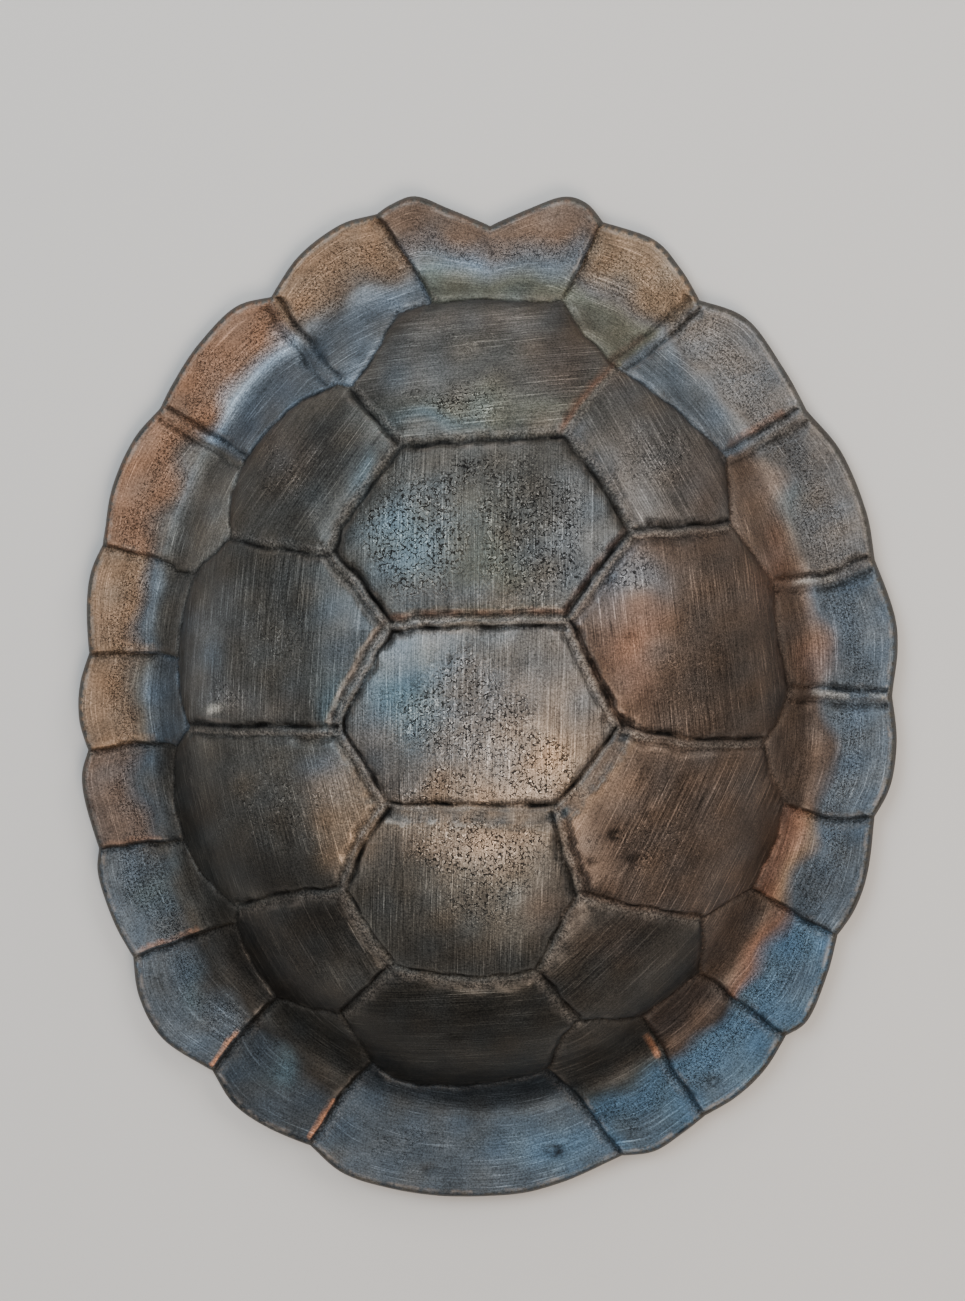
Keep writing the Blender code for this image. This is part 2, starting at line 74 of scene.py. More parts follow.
def across(places, half_width, half_length):
    """0 at the dome's centre, 1 on the oval with these half sides."""
    offset = places - DOME_CENTRE
    return np.hypot(offset[:, 0] / half_width, offset[:, 1] / half_length)


def polar(places):
    """Each place's direction and distance from the dome's centre."""
    offset = places - DOME_CENTRE
    return np.arctan2(offset[:, 1], offset[:, 0]), np.hypot(*offset.T)


def reach_of(loop, turn):
    """How far out a loop lies in each direction from the dome's centre."""
    turns, reaches = polar(loop)
    return np.interp(turn, turns, reaches, period=2 * math.pi)


def brim_share(places, rim):
    """0 at the dome's foot, 1 at the brim's edge, along each ray from the dome's centre."""
    turn, away = polar(places)
    foot = away / np.maximum(across(places, DOME_HALF_WIDTH, DOME_HALF_LENGTH), TINY)
    return (away - foot) / (reach_of(rim, turn) - foot)


def vault(share, height, knee):
    """Height of a dome whose curve runs straight on past its knee."""

    def curve(at):
        return height * (1 - (at / DOME_REACH) ** DOME_FULLNESS) ** DOME_SHOULDER

    slope = (curve(knee + TINY) - curve(knee)) / TINY
    return curve(np.minimum(share, knee)) + slope * np.maximum(share - knee, 0)


def top_form(places, rim):
    """Height of the outside before any relief: the dome, blended into the brim."""
    dome = vault(across(places, DOME_HALF_WIDTH, DOME_HALF_LENGTH), DOME_HEIGHT, DOME_KNEE)
    turn = np.clip((brim_share(places, rim) - BRIM_TURN) / (1 - BRIM_TURN), 0, 1)
    brim = BRIM_GUTTER + BRIM_LIFT * turn**BRIM_CURL
    blend = np.maximum(FOOT_FILLET - np.abs(dome - brim), 0) / FOOT_FILLET
    return np.maximum(dome, brim) + blend**2 * FOOT_FILLET / 4


def under_form(places, rim):
    """Height of the underside: the hollow, the flat ring around it, and the lip's rise."""
    share = across(places, DOME_HALF_WIDTH - SIDE_WALL, DOME_HALF_LENGTH - SIDE_WALL)
    hollow = vault(share, DOME_HEIGHT - WALL, HOLLOW_KNEE)
    lift = np.clip((brim_share(places, rim) - LAND_END) / (1 - LAND_END), 0, 1)
    return np.maximum(np.maximum(hollow, LIP_UNDER * lift**BRIM_CURL), 0)


# ---------------------------------------
# The scutes and the seams between them, which are grooves in the casting. Those on the dome, and the broad
# ones on the brim, are deepest along their left side as they run from their first corner to their last, so
# that order says which scute they cut under.

# The scutes' corners. l and r are the left and right side: l0 to l9 are the inner ends of the brim's seams
# from the head back, L0 to L9 their outer ends. v is the dome's middle row, c the rows beside it, and e
# where their seams reach the brim.
CORNERS = {
    "v1_l": (-38, 175), "c1_l": (-56, 141.5),
    "v12_l": (-32.5, 117), "v12_r": (38, 121), "c12_l": (-62, 70), "c12_r": (67, 78),
    "v23_l": (-35.5, 39), "v23_r": (39.5, 41.5), "c23_l": (-57.5, -6), "c23_r": (62, -4.5),
    "v34_l": (-38, -37.5), "v34_r": (35, -38.5), "c34_l": (-57.5, -76), "c34_r": (45, -77),
    "v45_l": (-37, -111), "v45_r": (26.5, -113), "c45_l": (-62, -137.5), "c45_r": (43, -137),
    "e12_l": (-110, 76), "e12_r": (109.5, 81), "e23_l": (-130.5, -10), "e23_r": (124.5, -14.5),
    "e34_l": (-109.5, -91.5), "e34_r": (97.5, -92.5),
    "notch": (2.5, 211),
}
CORNER_ROWS = {
    "l": (
        (-23, 179), (-63, 142.5), (-106, 108.5), (-128.5, 59), (-137.5, 20.5), (-139, -20), (-137, -64.5),
        (-112, -100.5), (-95, -136), (-51, -164.5),
    ),
    "r": (
        (35, 180), (60, 149.5), (108, 110.5), (129.5, 54), (136.5, 6), (135, -44.5), (120.5, -83),
        (97.5, -121.5), (71.5, -139.5), (29, -165),
    ),
    "L": (
        (-47.5, 217), (-95, 180.5), (-145, 131), (-171.5, 70), (-178, 21), (-179, -23), (-174.5, -68),
        (-159, -117.5), (-123.5, -169), (-79, -202.5),
    ),
    "R": (
        (51.5, 213), (94.5, 178.5), (142, 130), (172.5, 64), (181, 3.5), (173.5, -50.5), (157.5, -104),
        (135, -149.5), (99, -186.5), (62, -205.5),
    ),
}
for row, spots in CORNER_ROWS.items():
    CORNERS.update({f"{row}{number}": spot for number, spot in enumerate(spots)})

# Seams of each kind: from corner to corner, and what each passes through on its way
SEAMS = {
    "ridged": (
        ("c12_r", "e12_r", (87.5, 79)),
        ("c12_l", "v23_l", (-50, 57)),
        ("v23_r", "c12_r", (53, 60)),
        ("v23_r", "v23_l", (3, 41.5)),
        ("v23_l", "c23_l", (-47.5, 18.5), (-56.5, 1)),
        ("v23_r", "c23_r", (50, 18)),
        ("e23_l", "c23_l", (-94, -7.5)),
        ("c23_r", "e23_r", (90, -11.5)),
        ("c23_l", "v34_l", (-46, -24)),
        ("v34_l", "c34_l", (-49, -54.5)),
        ("c34_r", "v34_r", (40, -59)),
    ),
    "open": (
        ("v12_r", "r1", (48, 136)),
    ),
    "bevelled": (
        ("v12_l", "c1_l", (-43.5, 128)),
        ("v12_r", "v12_l", (3.5, 119.5)),
        ("v12_l", "c12_l", (-47, 98), (-57.5, 83)),
        ("c12_r", "v12_r", (60, 92.5), (50, 106.5)),
        ("c12_l", "e12_l", (-92.5, 73)),
    ),
    "chamfered": (
        ("v34_r", "c23_r", (49.5, -22)),
        ("v34_l", "v34_r", (-1.5, -38)),
    ),
    "sandy": (
        ("e34_l", "c34_l", (-85, -81.5)),
        ("c34_r", "e34_r", (71, -85)),
        ("c34_l", "v45_l", (-46.5, -95)),
        ("v45_r", "c34_r", (34, -98)),
        ("v45_l", "v45_r", (-5, -116)),
        ("c45_l", "v45_l", (-50.5, -125)),
        ("v45_r", "c45_r", (35, -125.5)),
    ),
    "foot": (
        ("v1_l", "l0"),
        ("l0", "r0", (-3.5, 180.5), (20.5, 179.5)),
        ("v1_l", "c1_l", (-42, 166), (-49, 151.5)),
        ("r0", "r1", (46.5, 163.5)),
        ("c45_l", "l9", (-56, -150.5)),
        ("c45_r", "r9", (35, -149.5)),
        ("l9", "r9", (-38.5, -173.5), (-11, -174.5), (14.5, -169.5)),
        ("c1_l", "l1"),
        ("l1", "l2", (-80, 135), (-95, 122)),
        ("l2", "e12_l", (-111, 91.5)),
        ("e12_l", "l3", (-119.5, 67)),
        ("l3", "l4", (-134.5, 40)),
        ("l4", "e23_l", (-135.5, 4)),
        ("e23_l", "l5"),
        ("l5", "l6", (-141.5, -43)),
        ("l6", "e34_l", (-126.5, -80.5)),
        ("e34_l", "l7"),
        ("l7", "l8", (-106.5, -118)),
        ("l8", "c45_l", (-80.5, -137)),
        ("r1", "r2", (78.5, 137), (96, 122.5)),
        ("r2", "e12_r", (109, 95)),
        ("e12_r", "r3", (120.5, 67.5)),
        ("r3", "r4", (131.5, 29)),
        ("r4", "e23_r", (132, -5)),
        ("e23_r", "r5", (128.5, -29.5)),
        ("r5", "r6", (130, -65)),
        ("r6", "e34_r", (109, -87.5)),
        ("e34_r", "r7", (98.5, -106.5)),
        ("r7", "r8", (84.5, -130)),
        ("r8", "c45_r", (56.5, -138.5)),
    ),
    "brim": (
        ("L0", "l0", (-36.5, 201.5)),
        ("L3", "l3", (-152.5, 65), (-142.5, 62.5), (-139.5, 58.5)),
        ("L4", "l4", (-160.5, 21)),
        ("L5", "l5", (-160.5, -20.5)),
        ("L6", "l6", (-155.5, -66)),
        ("L7", "l7", (-136.5, -110)),
        ("L8", "l8", (-109.5, -151)),
        ("L9", "l9", (-66, -182.5)),
        ("r0", "R0", (43, 195.5)),
        ("r5", "R5", (155, -52.5)),
        ("r6", "R6", (140.5, -96)),
        ("r7", "R7", (117, -137.5)),
        ("r8", "R8", (85.5, -167.5)),
        ("r9", "R9", (45.5, -185.5)),
    ),
    "broad": (
        ("L1", "l1", (-82.5, 162)),
        ("L2", "l2", (-128, 120)),
        ("R1", "r1", (78.5, 164)),
        ("r2", "R2", (124, 119.5)),
        ("r3", "R3", (151.5, 55.5)),
        ("r4", "R4", (159, 3.5)),
    ),
    "rim": (
        ("R0", "notch", (44, 221.5), (34.5, 224), (20.5, 219)),
        ("notch", "L0", (-17.5, 219.5), (-31, 224.5), (-40.5, 221.5)),
        ("L0", "L1", (-64.5, 212), (-82.5, 198.5)),
        ("L1", "L2", (-112, 175.5), (-128, 159.5), (-139, 142.5)),
        ("L2", "L3", (-157.5, 116.5), (-167, 95.5)),
        ("L3", "L4", (-177, 57), (-179, 40.5)),
        ("L4", "L5", (-182.5, 6.5), (-183, -8)),
        ("L5", "L6", (-182, -38.5)),
        ("L6", "L7", (-175, -80.5), (-168.5, -100.5)),
        ("L7", "L8", (-156.5, -136), (-146, -154.5)),
        ("L8", "L9", (-113.5, -184.5), (-98, -195)),
        ("L9", "R9", (-61.5, -216.5), (-30, -224), (7, -224.5), (34.5, -218)),
        ("R9", "R8", (76.5, -203), (88.5, -195)),
        ("R8", "R7", (113.5, -177.5), (126, -165)),
        ("R7", "R6", (145, -142), (153, -122.5)),
        ("R6", "R5", (165.5, -91.5), (171, -74.5)),
        ("R5", "R4", (180.5, -36), (183, -16.5)),
        ("R4", "R3", (183, 24.5), (181.5, 40)),
        ("R3", "R2", (168.5, 86), (157.5, 111.5)),
        ("R2", "R1", (131.5, 149), (116, 170)),
        ("R1", "R0", (86, 192.5), (74, 205.5)),
    ),
}

# The corners along the dome's foot, clockwise from above
FOOT = (
    "l0 r0 r1 r2 e12_r r3 r4 e23_r r5 r6 e34_r r7 r8 c45_r r9 "
    "l9 c45_l l8 l7 e34_l l6 l5 e23_l l4 l3 e12_l l2 l1 c1_l v1_l"
)

# Each kind's cross-section: offset to the left, and height. The foot's left is the dome's side.
SECTIONS = {
    "ridged": (
        (-4.4, 0), (-3.4, -1.5), (-2.4, -2.1), (-1.2, -1.0), (0.6, -0.9), (1.6, -2.0), (2.3, -2.9),
        (2.9, -1.2), (3.5, 0),
    ),
    "open": ((-4.4, 0), (-3.2, -0.9), (-1.4, -1.3), (0.4, -1.0), (1.8, -1.4), (2.8, -0.7), (3.6, 0)),
    "bevelled": (
        (-5.0, 0), (-3.6, -0.6), (-1.4, -1.4), (0.5, -1.9), (1.3, -2.7), (2.0, -2.4), (2.7, -0.6), (3.3, 0),
    ),
    "chamfered": (
        (-6.6, 0), (-5.8, -0.9), (-1.6, -0.9), (0.4, -0.8), (1.3, -2.7), (2.0, -2.4), (2.7, -0.6), (3.3, 0),
    ),
    "sandy": (
        (-5.2, 0), (-4.0, -0.7), (-1.6, -1.2), (0.4, -1.6), (1.3, -2.7), (2.0, -2.4), (2.7, -0.6), (3.3, 0),
    ),
    "foot": ((-2.0, 0), (-1.1, -0.6), (-0.4, -1.9), (0.2, -1.9), (0.9, -0.8), (1.9, 0)),
    "brim": (
        (-8.0, 0), (-5.5, -0.4), (-3.0, -0.9), (-1.2, -1.6), (-0.2, -2.4), (0.5, -2.0), (1.2, -0.3), (1.9, 0),
    ),
    "broad": (
        (-6.4, 0), (-5.2, -1.3), (-4.0, -1.9), (-2.2, -0.6), (0.6, -0.9), (2.2, -1.9), (2.9, -2.6),
        (3.6, -0.6), (4.3, 0),
    ),
    "rim": ((0, -0.9), (0.6, -0.4), (1.3, -0.1), (2.2, 0)),
}
SEAM_END = ((0, -1.7), (1.8, -1.4), (3.2, 0))  # past a seam's ends, by distance

# What each kind carries along it: soot with painted shade in its slits, pale sandy crust, or metal rubbed
# bright with a painted highlight on it, each at this offset to the left, this strong, and this half width
SOOT_AND_SHADE, SAND, RUBBED_AND_LIT = 0, 1, 2
SEAM_BANDS = {
    "ridged": (
        (SOOT_AND_SHADE, 1.9, 0.9, 1.4), (SOOT_AND_SHADE, -2.8, 0.5, 1.0), (SAND, -0.6, 0.8, 1.3), (RUBBED_AND_LIT, 3.9, 0.7, 0.8),
        (RUBBED_AND_LIT, -4.4, 0.2, 0.8),
    ),
    "open": ((SOOT_AND_SHADE, -3.6, 0.3, 1.5), (SAND, 0, 0.3, 2.0)),
    "bevelled": ((SOOT_AND_SHADE, 1.4, 0.85, 1.0), (SAND, -1.2, 0.25, 1.4), (RUBBED_AND_LIT, 3.7, 0.4, 0.8)),
    "chamfered": (
        (SOOT_AND_SHADE, 1.5, 0.95, 1.1), (SOOT_AND_SHADE, -3.8, 0.4, 2.2), (SAND, -0.6, 0.35, 0.8), (SAND, -6.4, 0.4, 0.7),
        (RUBBED_AND_LIT, 3.7, 0.4, 0.8),
    ),
    "sandy": ((SOOT_AND_SHADE, 1.4, 0.85, 0.8), (SAND, -1.9, 0.42, 1.8), (RUBBED_AND_LIT, -4.4, 0.3, 0.9)),
    "foot": ((SOOT_AND_SHADE, -0.1, 0.65, 0.8), (SAND, -1.6, 0.15, 1.0), (RUBBED_AND_LIT, 2.1, 0.3, 0.8)),
    "brim": ((SOOT_AND_SHADE, -0.1, 0.55, 0.8), (SAND, -2.4, 0.15, 1.6), (RUBBED_AND_LIT, 2.2, 0.5, 0.8)),
    "broad": (
        (SOOT_AND_SHADE, 2.6, 0.6, 1.2), (SOOT_AND_SHADE, -4.0, 0.55, 1.3), (SAND, -0.9, 0.3, 1.4), (RUBBED_AND_LIT, 4.5, 0.5, 0.9),
    ),
    "rim": ((RUBBED_AND_LIT, 1.0, 0.7, 0.9),),
}
FLOOR_FROM, FLOOR_OVER = -0.6, 0.9  # a groove's floor starts this deep, and takes this much to be all floor
PILLOW = 1.6  # how far a scute's middle stands above its edges
PILLOW_REACH = 9.0
SEAM_REACH = 36.0  # past this far from a seam, a scute is level
FAR = 99.0
STEP = 1.2  # how far the dome's scutes stand above the brim's
STEP_WIDTH = 1.4
SHINGLE = 0.9  # how far a brim scute's tail end stands above the next one's start
SHINGLE_REACH = 9.0
LEAN = 2.0  # relief is cut between upright and square to the surface: higher is more upright
CURVE_STEPS = 40
FINE_STEP = 1.0
SLOPE_STEP = 0.5
WOBBLE_FADE = 6.0  # how far from its ends a seam's wobble is whole
WAVES, WAVE_SIZES = 7, (0.7, 1.6)

# Smooth noises: how strong, the size of their ups and downs, and their seed
WOBBLE = (0.35, 15.0, 1)
UNEVEN_WIDTH = (0.13, 11.0, 2)
UNEVEN_DEPTH = (0.2, 8.0, 3)
UNEVEN_BANDS = ((0.35, 13.0, 4), (0.35, 13.0, 5), (0.35, 13.0, 6))
BAND_MEAN, BAND_RANGE = 0.85, (0.3, 1.2)

# Dents: x, y, half sizes and depth
DENTS = (
    (74.5, -42, 1.7, 1.5, 0.7),
    (60, -50, 2.4, 1.9, 0.8),
    (68.5, -61, 3.0, 1.6, 0.7),
    (50.5, -62.5, 1.5, 1.3, 0.7),
    (66, 34, 1.6, 1.6, 0.5),
    (-9, 25, 1.6, 1.4, 0.4),
    (-10, -142, 3.4, 2.2, 0.7),
    (104, -172, 2.6, 1.7, 0.6),
    (31, -205, 4.0, 2.2, 0.9),
    (-25, -214, 3.0, 1.6, 0.5),
    (-145, -32, 4.0, 2.5, 0.4),
    (150, -150, 5.0, 3.0, 0.4),
)
DENT_SHADE = 0.9  # painted shade around a dent's edge, as soot, for each millimetre of its depth


def resampled(line, step):
    """The same line with evenly spaced points, its ends kept."""
    travel = np.concatenate([[0], np.cumsum(np.linalg.norm(np.diff(line, axis=0), axis=1))])
    at = np.linspace(0, travel[-1], max(1, round(travel[-1] / step)) + 1)
    return np.column_stack([np.interp(at, travel, line[:, axis]) for axis in (0, 1)])


def spline(points, step):
    """A smooth curve through the points, with a point about every step."""
    points = np.asarray(points, float)
    held = np.vstack([2 * points[0] - points[1], points, 2 * points[-1] - points[-2]])
    dense = []
    for a, b, c, d in zip(held, held[1:], held[2:], held[3:]):
        t = np.linspace(0, 1, CURVE_STEPS, endpoint=False)[:, None]
        curve = 2 * b + (c - a) * t + (2 * a - 5 * b + 4 * c - d) * t**2 + (3 * b - a - 3 * c + d) * t**3
        dense.append(curve / 2)
    return resampled(np.vstack(dense + [points[-1:]]), step)


def left_of(line):
    """The direction to the left of a line at each of its points."""
    along = np.gradient(line, axis=0)
    side = np.column_stack([-along[:, 1], along[:, 0]])
    return side / np.linalg.norm(side, axis=1)[:, None]


def beside(places, line):
    """How far each place lies to the left of a line, and whether it lies past either end."""
    start, along = line[:-1], np.diff(line, axis=0)
    offset = places[:, None] - start
    share = (offset * along).sum(2) / (along**2).sum(1)
    away = np.linalg.norm(offset - np.clip(share, 0, 1)[..., None] * along, axis=2)
    row, nearest = np.arange(len(places)), away.argmin(1)
    turn = along[nearest, 0] * offset[row, nearest, 1] - along[nearest, 1] * offset[row, nearest, 0]
    past = (share[:, 0] < 0) & (nearest == 0) | (share[:, -1] > 1) & (nearest == len(along) - 1)
    return np.copysign(away[row, nearest], turn), past


def near(places, line, reach):
    """The numbers of the places around a line."""
    return np.flatnonzero(np.all((places > line.min(0) - reach) & (places < line.max(0) + reach), axis=1))


def blob(places, x, y, half_width, half_length):
    """1 in the middle of a soft patch, 0 far from it."""
    return np.exp(-(((places[:, 0] - x) / half_width) ** 2 + ((places[:, 1] - y) / half_length) ** 2))


def ripple(places, strength, size, seed):
    """Smooth noise around 0, about this strong, whose ups and downs are about this size."""
    draw = np.random.default_rng(seed)
    ways = draw.uniform(0, 2 * math.pi, WAVES)
    rates = 2 * math.pi / (size * draw.uniform(*WAVE_SIZES, WAVES))
    starts = draw.uniform(0, 2 * math.pi, WAVES)
    along = places @ np.array([np.cos(ways), np.sin(ways)])
    return strength * np.sin(along * rates + starts).sum(1) / math.sqrt(WAVES)


def wobbled(line):
    """The line made a little uneven, as if carved by hand, with its ends kept."""
    travel = FINE_STEP * np.arange(len(line))
    free = np.clip(np.minimum(travel, travel[::-1]) / WOBBLE_FADE, 0, 1)
    return line + left_of(line) * (free * ripple(line, *WOBBLE))[:, None]


def joined(corners):
    """The line along a ring of corners."""
    corners = corners.split()
    return np.vstack([lines[pair][:-1] for pair in zip(corners, corners[1:] + corners[:1])])


lines, seam_lines = {}, []
for kind, seams in SEAMS.items():
    for first, last, *between in seams:
        line = spline([CORNERS[first], *between, CORNERS[last]], FINE_STEP)
        if kind != "rim":
            line = wobbled(line)
        lines[first, last], lines[last, first] = line, line[::-1]
        seam_lines.append((kind, line))
foot = joined(FOOT)


def relief(places):
    """How far the surface stands above the smooth form, and the soot, painted shade, crust, wear and painted
    highlights that the seams carry.
    """
    cut, lift = np.zeros((2, len(places)))
    clear = np.full(len(places), FAR)
    bands = np.zeros((len(places), 3))
    turn, away = polar(places)
    on_dome = away < reach_of(foot, turn)
    spread, deepen = 1 + ripple(places, *UNEVEN_WIDTH), 1 + ripple(places, *UNEVEN_DEPTH)
    for kind, line in seam_lines:
        offsets, heights = np.array(SECTIONS[kind], float).T
        some = near(places, line, SEAM_REACH)
        side, past = beside(places[some], line)
        if kind == "foot":
            side = np.where(on_dome[some], 1, -1) * np.abs(side)
        if kind == "rim":
            side = np.abs(side)
        clear[some] = np.minimum(clear[some], np.maximum(side - offsets[-1], offsets[0] - side))
        if kind == "rim":
            groove = np.interp(side, offsets, heights)
        else:
            side = side * spread[some]
            groove = np.interp(side, offsets, heights) * deepen[some]
            groove[past] = np.interp(np.abs(side[past]), *zip(*SEAM_END))
        cut[some] = np.minimum(cut[some], groove)
        for what, offset, strength, half_width in SEAM_BANDS[kind]:
            band = strength * ~past * np.exp(-(((side - offset) / half_width) ** 2))
            bands[some, what] = np.maximum(bands[some, what], band)
        if kind in ("brim", "broad"):
            lift[some] = np.maximum(lift[some], np.exp(-np.maximum(side, 0) / SHINGLE_REACH) * (side > 0))
    toe = np.clip((reach_of(foot, turn) - away) / STEP_WIDTH + 0.5, 0, 1)
    height = PILLOW * (1 - np.exp(-np.maximum(clear, 0) / PILLOW_REACH)) + cut
    height += STEP * toe**2 * (3 - 2 * toe) + SHINGLE * lift * ~on_dome
    for *patch, depth in DENTS:
        dent = blob(places, *patch)
        height -= depth * dent
        # painted shade, as soot, in a ring around each dent's edge
        bands[:, SOOT_AND_SHADE] = np.maximum(bands[:, SOOT_AND_SHADE], DENT_SHADE * depth * 4 * dent * (1 - dent))
    floor = np.clip((FLOOR_FROM - cut) / FLOOR_OVER, 0, 1)
    uneven = np.column_stack([ripple(places, *noise) for noise in UNEVEN_BANDS])
    return height, floor, bands * np.clip(BAND_MEAN + uneven, *BAND_RANGE)


def raised(places, rim, height):
    """The outside's points: the smooth form with its relief."""
    form = top_form(places, rim)
    slope_x = (top_form(places + (SLOPE_STEP, 0), rim) - form) / SLOPE_STEP
    slope_y = (top_form(places + (0, SLOPE_STEP), rim) - form) / SLOPE_STEP
    square = np.column_stack([-slope_x, -slope_y, np.ones(len(places))])
    square /= np.linalg.norm(square, axis=1)[:, None]
    way = square + (0, 0, LEAN)
    way /= np.linalg.norm(way, axis=1)[:, None]
    return np.column_stack([places, form]) + way * height[:, None]


# ---------------------------------------
# The shell's finish from place to place: which scute a point is on, the way it was brushed, the tints of its
# patina together with painted light and shade (reflections, highlights and the shade of parts that face away
# from the light), and where the casting is pitted. These become the mesh's attributes.

TINTS = {
    "graphite": (88, 86, 81),
    "pewter": (96, 93, 90),
    "olive": (98, 99, 88),
    "slate": (86, 93, 99),
    "teal": (86, 107, 115),
    "steel": (70, 89, 104),
    "straw": (138, 118, 98),
    "tan": (118, 99, 82),
    "clay": (116, 92, 76),
    "copper": (122, 93, 78),
    "bronze": (98, 84, 74),
    "umber": (84, 73, 66),
    "lead": (68, 77, 82),
    # a dark tint, used for soot and for painted shade on parts that face away from the light
    "soot": (52, 49, 45),
    "rust": (106, 77, 62),
    # rubbed bright metal, painted brighter still as glints of light
    "burnish": (186, 130, 96),
    # a painted highlight: glints of light on ridges and edges
    "glint": (225, 220, 208),
}

# The dome's scutes: corners counterclockwise, brushing in degrees clockwise from the head, tint and its
# light. The light paints light and shade by the way each scute faces, darkest at the tail end.
DOME_SCUTES = {
    "vertebral_1": ("v1_l c1_l v12_l v12_r r1 r0 l0", 84, "graphite", 0.85),
    "vertebral_2": ("v12_l c12_l v23_l v23_r c12_r v12_r", 0, "graphite", 0.75),
    "vertebral_3": ("v23_l c23_l v34_l v34_r c23_r v23_r", 1, "pewter", 1.2),
    "vertebral_4": ("v34_l c34_l v45_l v45_r c34_r v34_r", 3, "graphite", 0.88),
    "vertebral_5": ("v45_l c45_l l9 r9 c45_r v45_r", 86, "graphite", 0.33),
    "costal_left_1": ("c1_l l1 l2 e12_l c12_l v12_l", 35, "graphite", 0.75),
    "costal_left_2": ("c12_l e12_l l3 l4 e23_l c23_l v23_l", 4, "graphite", 0.72),
    "costal_left_3": ("c23_l e23_l l5 l6 e34_l c34_l v34_l", -13, "graphite", 0.8),
    "costal_left_4": ("c34_l e34_l l7 l8 c45_l v45_l", -28, "soot", 1),
    "costal_right_1": ("v12_r c12_r e12_r r2 r1", -30, "pewter", 0.79),
    "costal_right_2": ("c12_r v23_r c23_r e23_r r4 r3 e12_r", -7, "bronze", 0.76),
    "costal_right_3": ("c23_r v34_r c34_r e34_r r6 r5 e23_r", 26, "bronze", 0.92),
    "costal_right_4": ("c34_r v45_r c45_r r8 r7 e34_r", 46, "soot", 1.5),
}

# The brim's scutes, from the head around by the left: corners counterclockwise, tint and its light beside the
# dome, midway and at the edge, where on the brim's width those three lie, and how pitted it is. Besides the
# patina, these tints paint reflections, cool blue or warm copper by the way each part of the brim faces, and
# painted shade beside the dome's foot.
WIDE, SPREAD, CRISP, LATE = (0.2, 0.46, 0.8), (0.2, 0.4, 0.62), (0.22, 0.36, 0.5), (0.24, 0.42, 0.54)
BRIM_SCUTES = {
    "nuchal": ("R0 notch L0 l0 r0", ("olive", 0.95), ("slate", 1.3), ("bronze", 1.05), WIDE, 0.6),
    "left_1": ("L0 L1 l1 c1_l v1_l l0", ("slate", 1.6), ("pewter", 0.85), ("tan", 1.05), SPREAD, 0.8),
    "left_2": ("L1 L2 l2 l1", ("slate", 1.45), ("slate", 2.3), ("clay", 1.02), SPREAD, 0.7),
    "left_3": ("L2 L3 l3 e12_l l2", ("graphite", 1.8), ("pewter", 1), ("clay", 1.04), SPREAD, 1),
    "left_4": ("L3 L4 l4 l3", ("graphite", 1.2), ("slate", 0.95), ("tan", 1.02), SPREAD, 1),
    "left_5": ("L4 L5 l5 e23_l l4", ("slate", 1.25), ("graphite", 0.95), ("tan", 0.95), SPREAD, 0.6),
    "left_6": ("L5 L6 l6 l5", ("graphite", 0.7), ("slate", 0.55), ("umber", 1.15), SPREAD, 0.5),
    "left_7": ("L6 L7 l7 e34_l l6", ("graphite", 0.7), ("graphite", 0.45), ("slate", 0.88), SPREAD, 0.7),
    "left_8": ("L7 L8 l8 l7", ("soot", 1.25), ("graphite", 0.22), ("slate", 0.72), SPREAD, 0.4),
    "left_9": ("L8 L9 l9 c45_l l8", ("graphite", 0.45), ("soot", 0.6), ("slate", 0.4), SPREAD, 0.3),
    "pygal": ("L9 R9 r9 l9", ("slate", 0.42), ("slate", 0.6), ("slate", 0.67), SPREAD, 0.3),
    "right_9": ("R9 R8 r8 c45_r r9", ("soot", 1.6), ("lead", 0.5), ("steel", 0.88), CRISP, 0.5),
    "right_8": ("R8 R7 r7 r8", ("umber", 0.95), ("umber", 0.45), ("steel", 0.98), CRISP, 0.7),
    "right_7": ("R7 R6 r6 e34_r r7", ("bronze", 0.95), ("copper", 0.75), ("steel", 0.98), LATE, 0.5),
    "right_6": ("R6 R5 r5 r6", ("copper", 1.2), ("tan", 0.8), ("slate", 0.75), CRISP, 0.5),
    "right_5": ("R5 R4 r4 e23_r r5", ("bronze", 1.1), ("umber", 0.9), ("slate", 0.92), CRISP, 0.6),
    "right_4": ("R4 R3 r3 r4", ("bronze", 1.2), ("slate", 0.95), ("slate", 0.92), SPREAD, 0.6),
    "right_3": ("R3 R2 r2 e12_r r3", ("bronze", 1.6), ("pewter", 0.95), ("pewter", 1.08), SPREAD, 0.8),
    "right_2": ("R2 R1 r1 r2", ("slate", 1.7), ("pewter", 0.9), ("pewter", 1.45), SPREAD, 0.9),
    "right_1": ("R1 R0 r0 r1", ("olive", 1.4), ("pewter", 1.1), ("straw", 0.95), SPREAD, 1),
}
BRIM_WIDTH = 42.0
BRIM_PITS_AT, BRIM_PITS_OVER = 0.62, 0.2  # where on the brim's width the pits are, and how widely
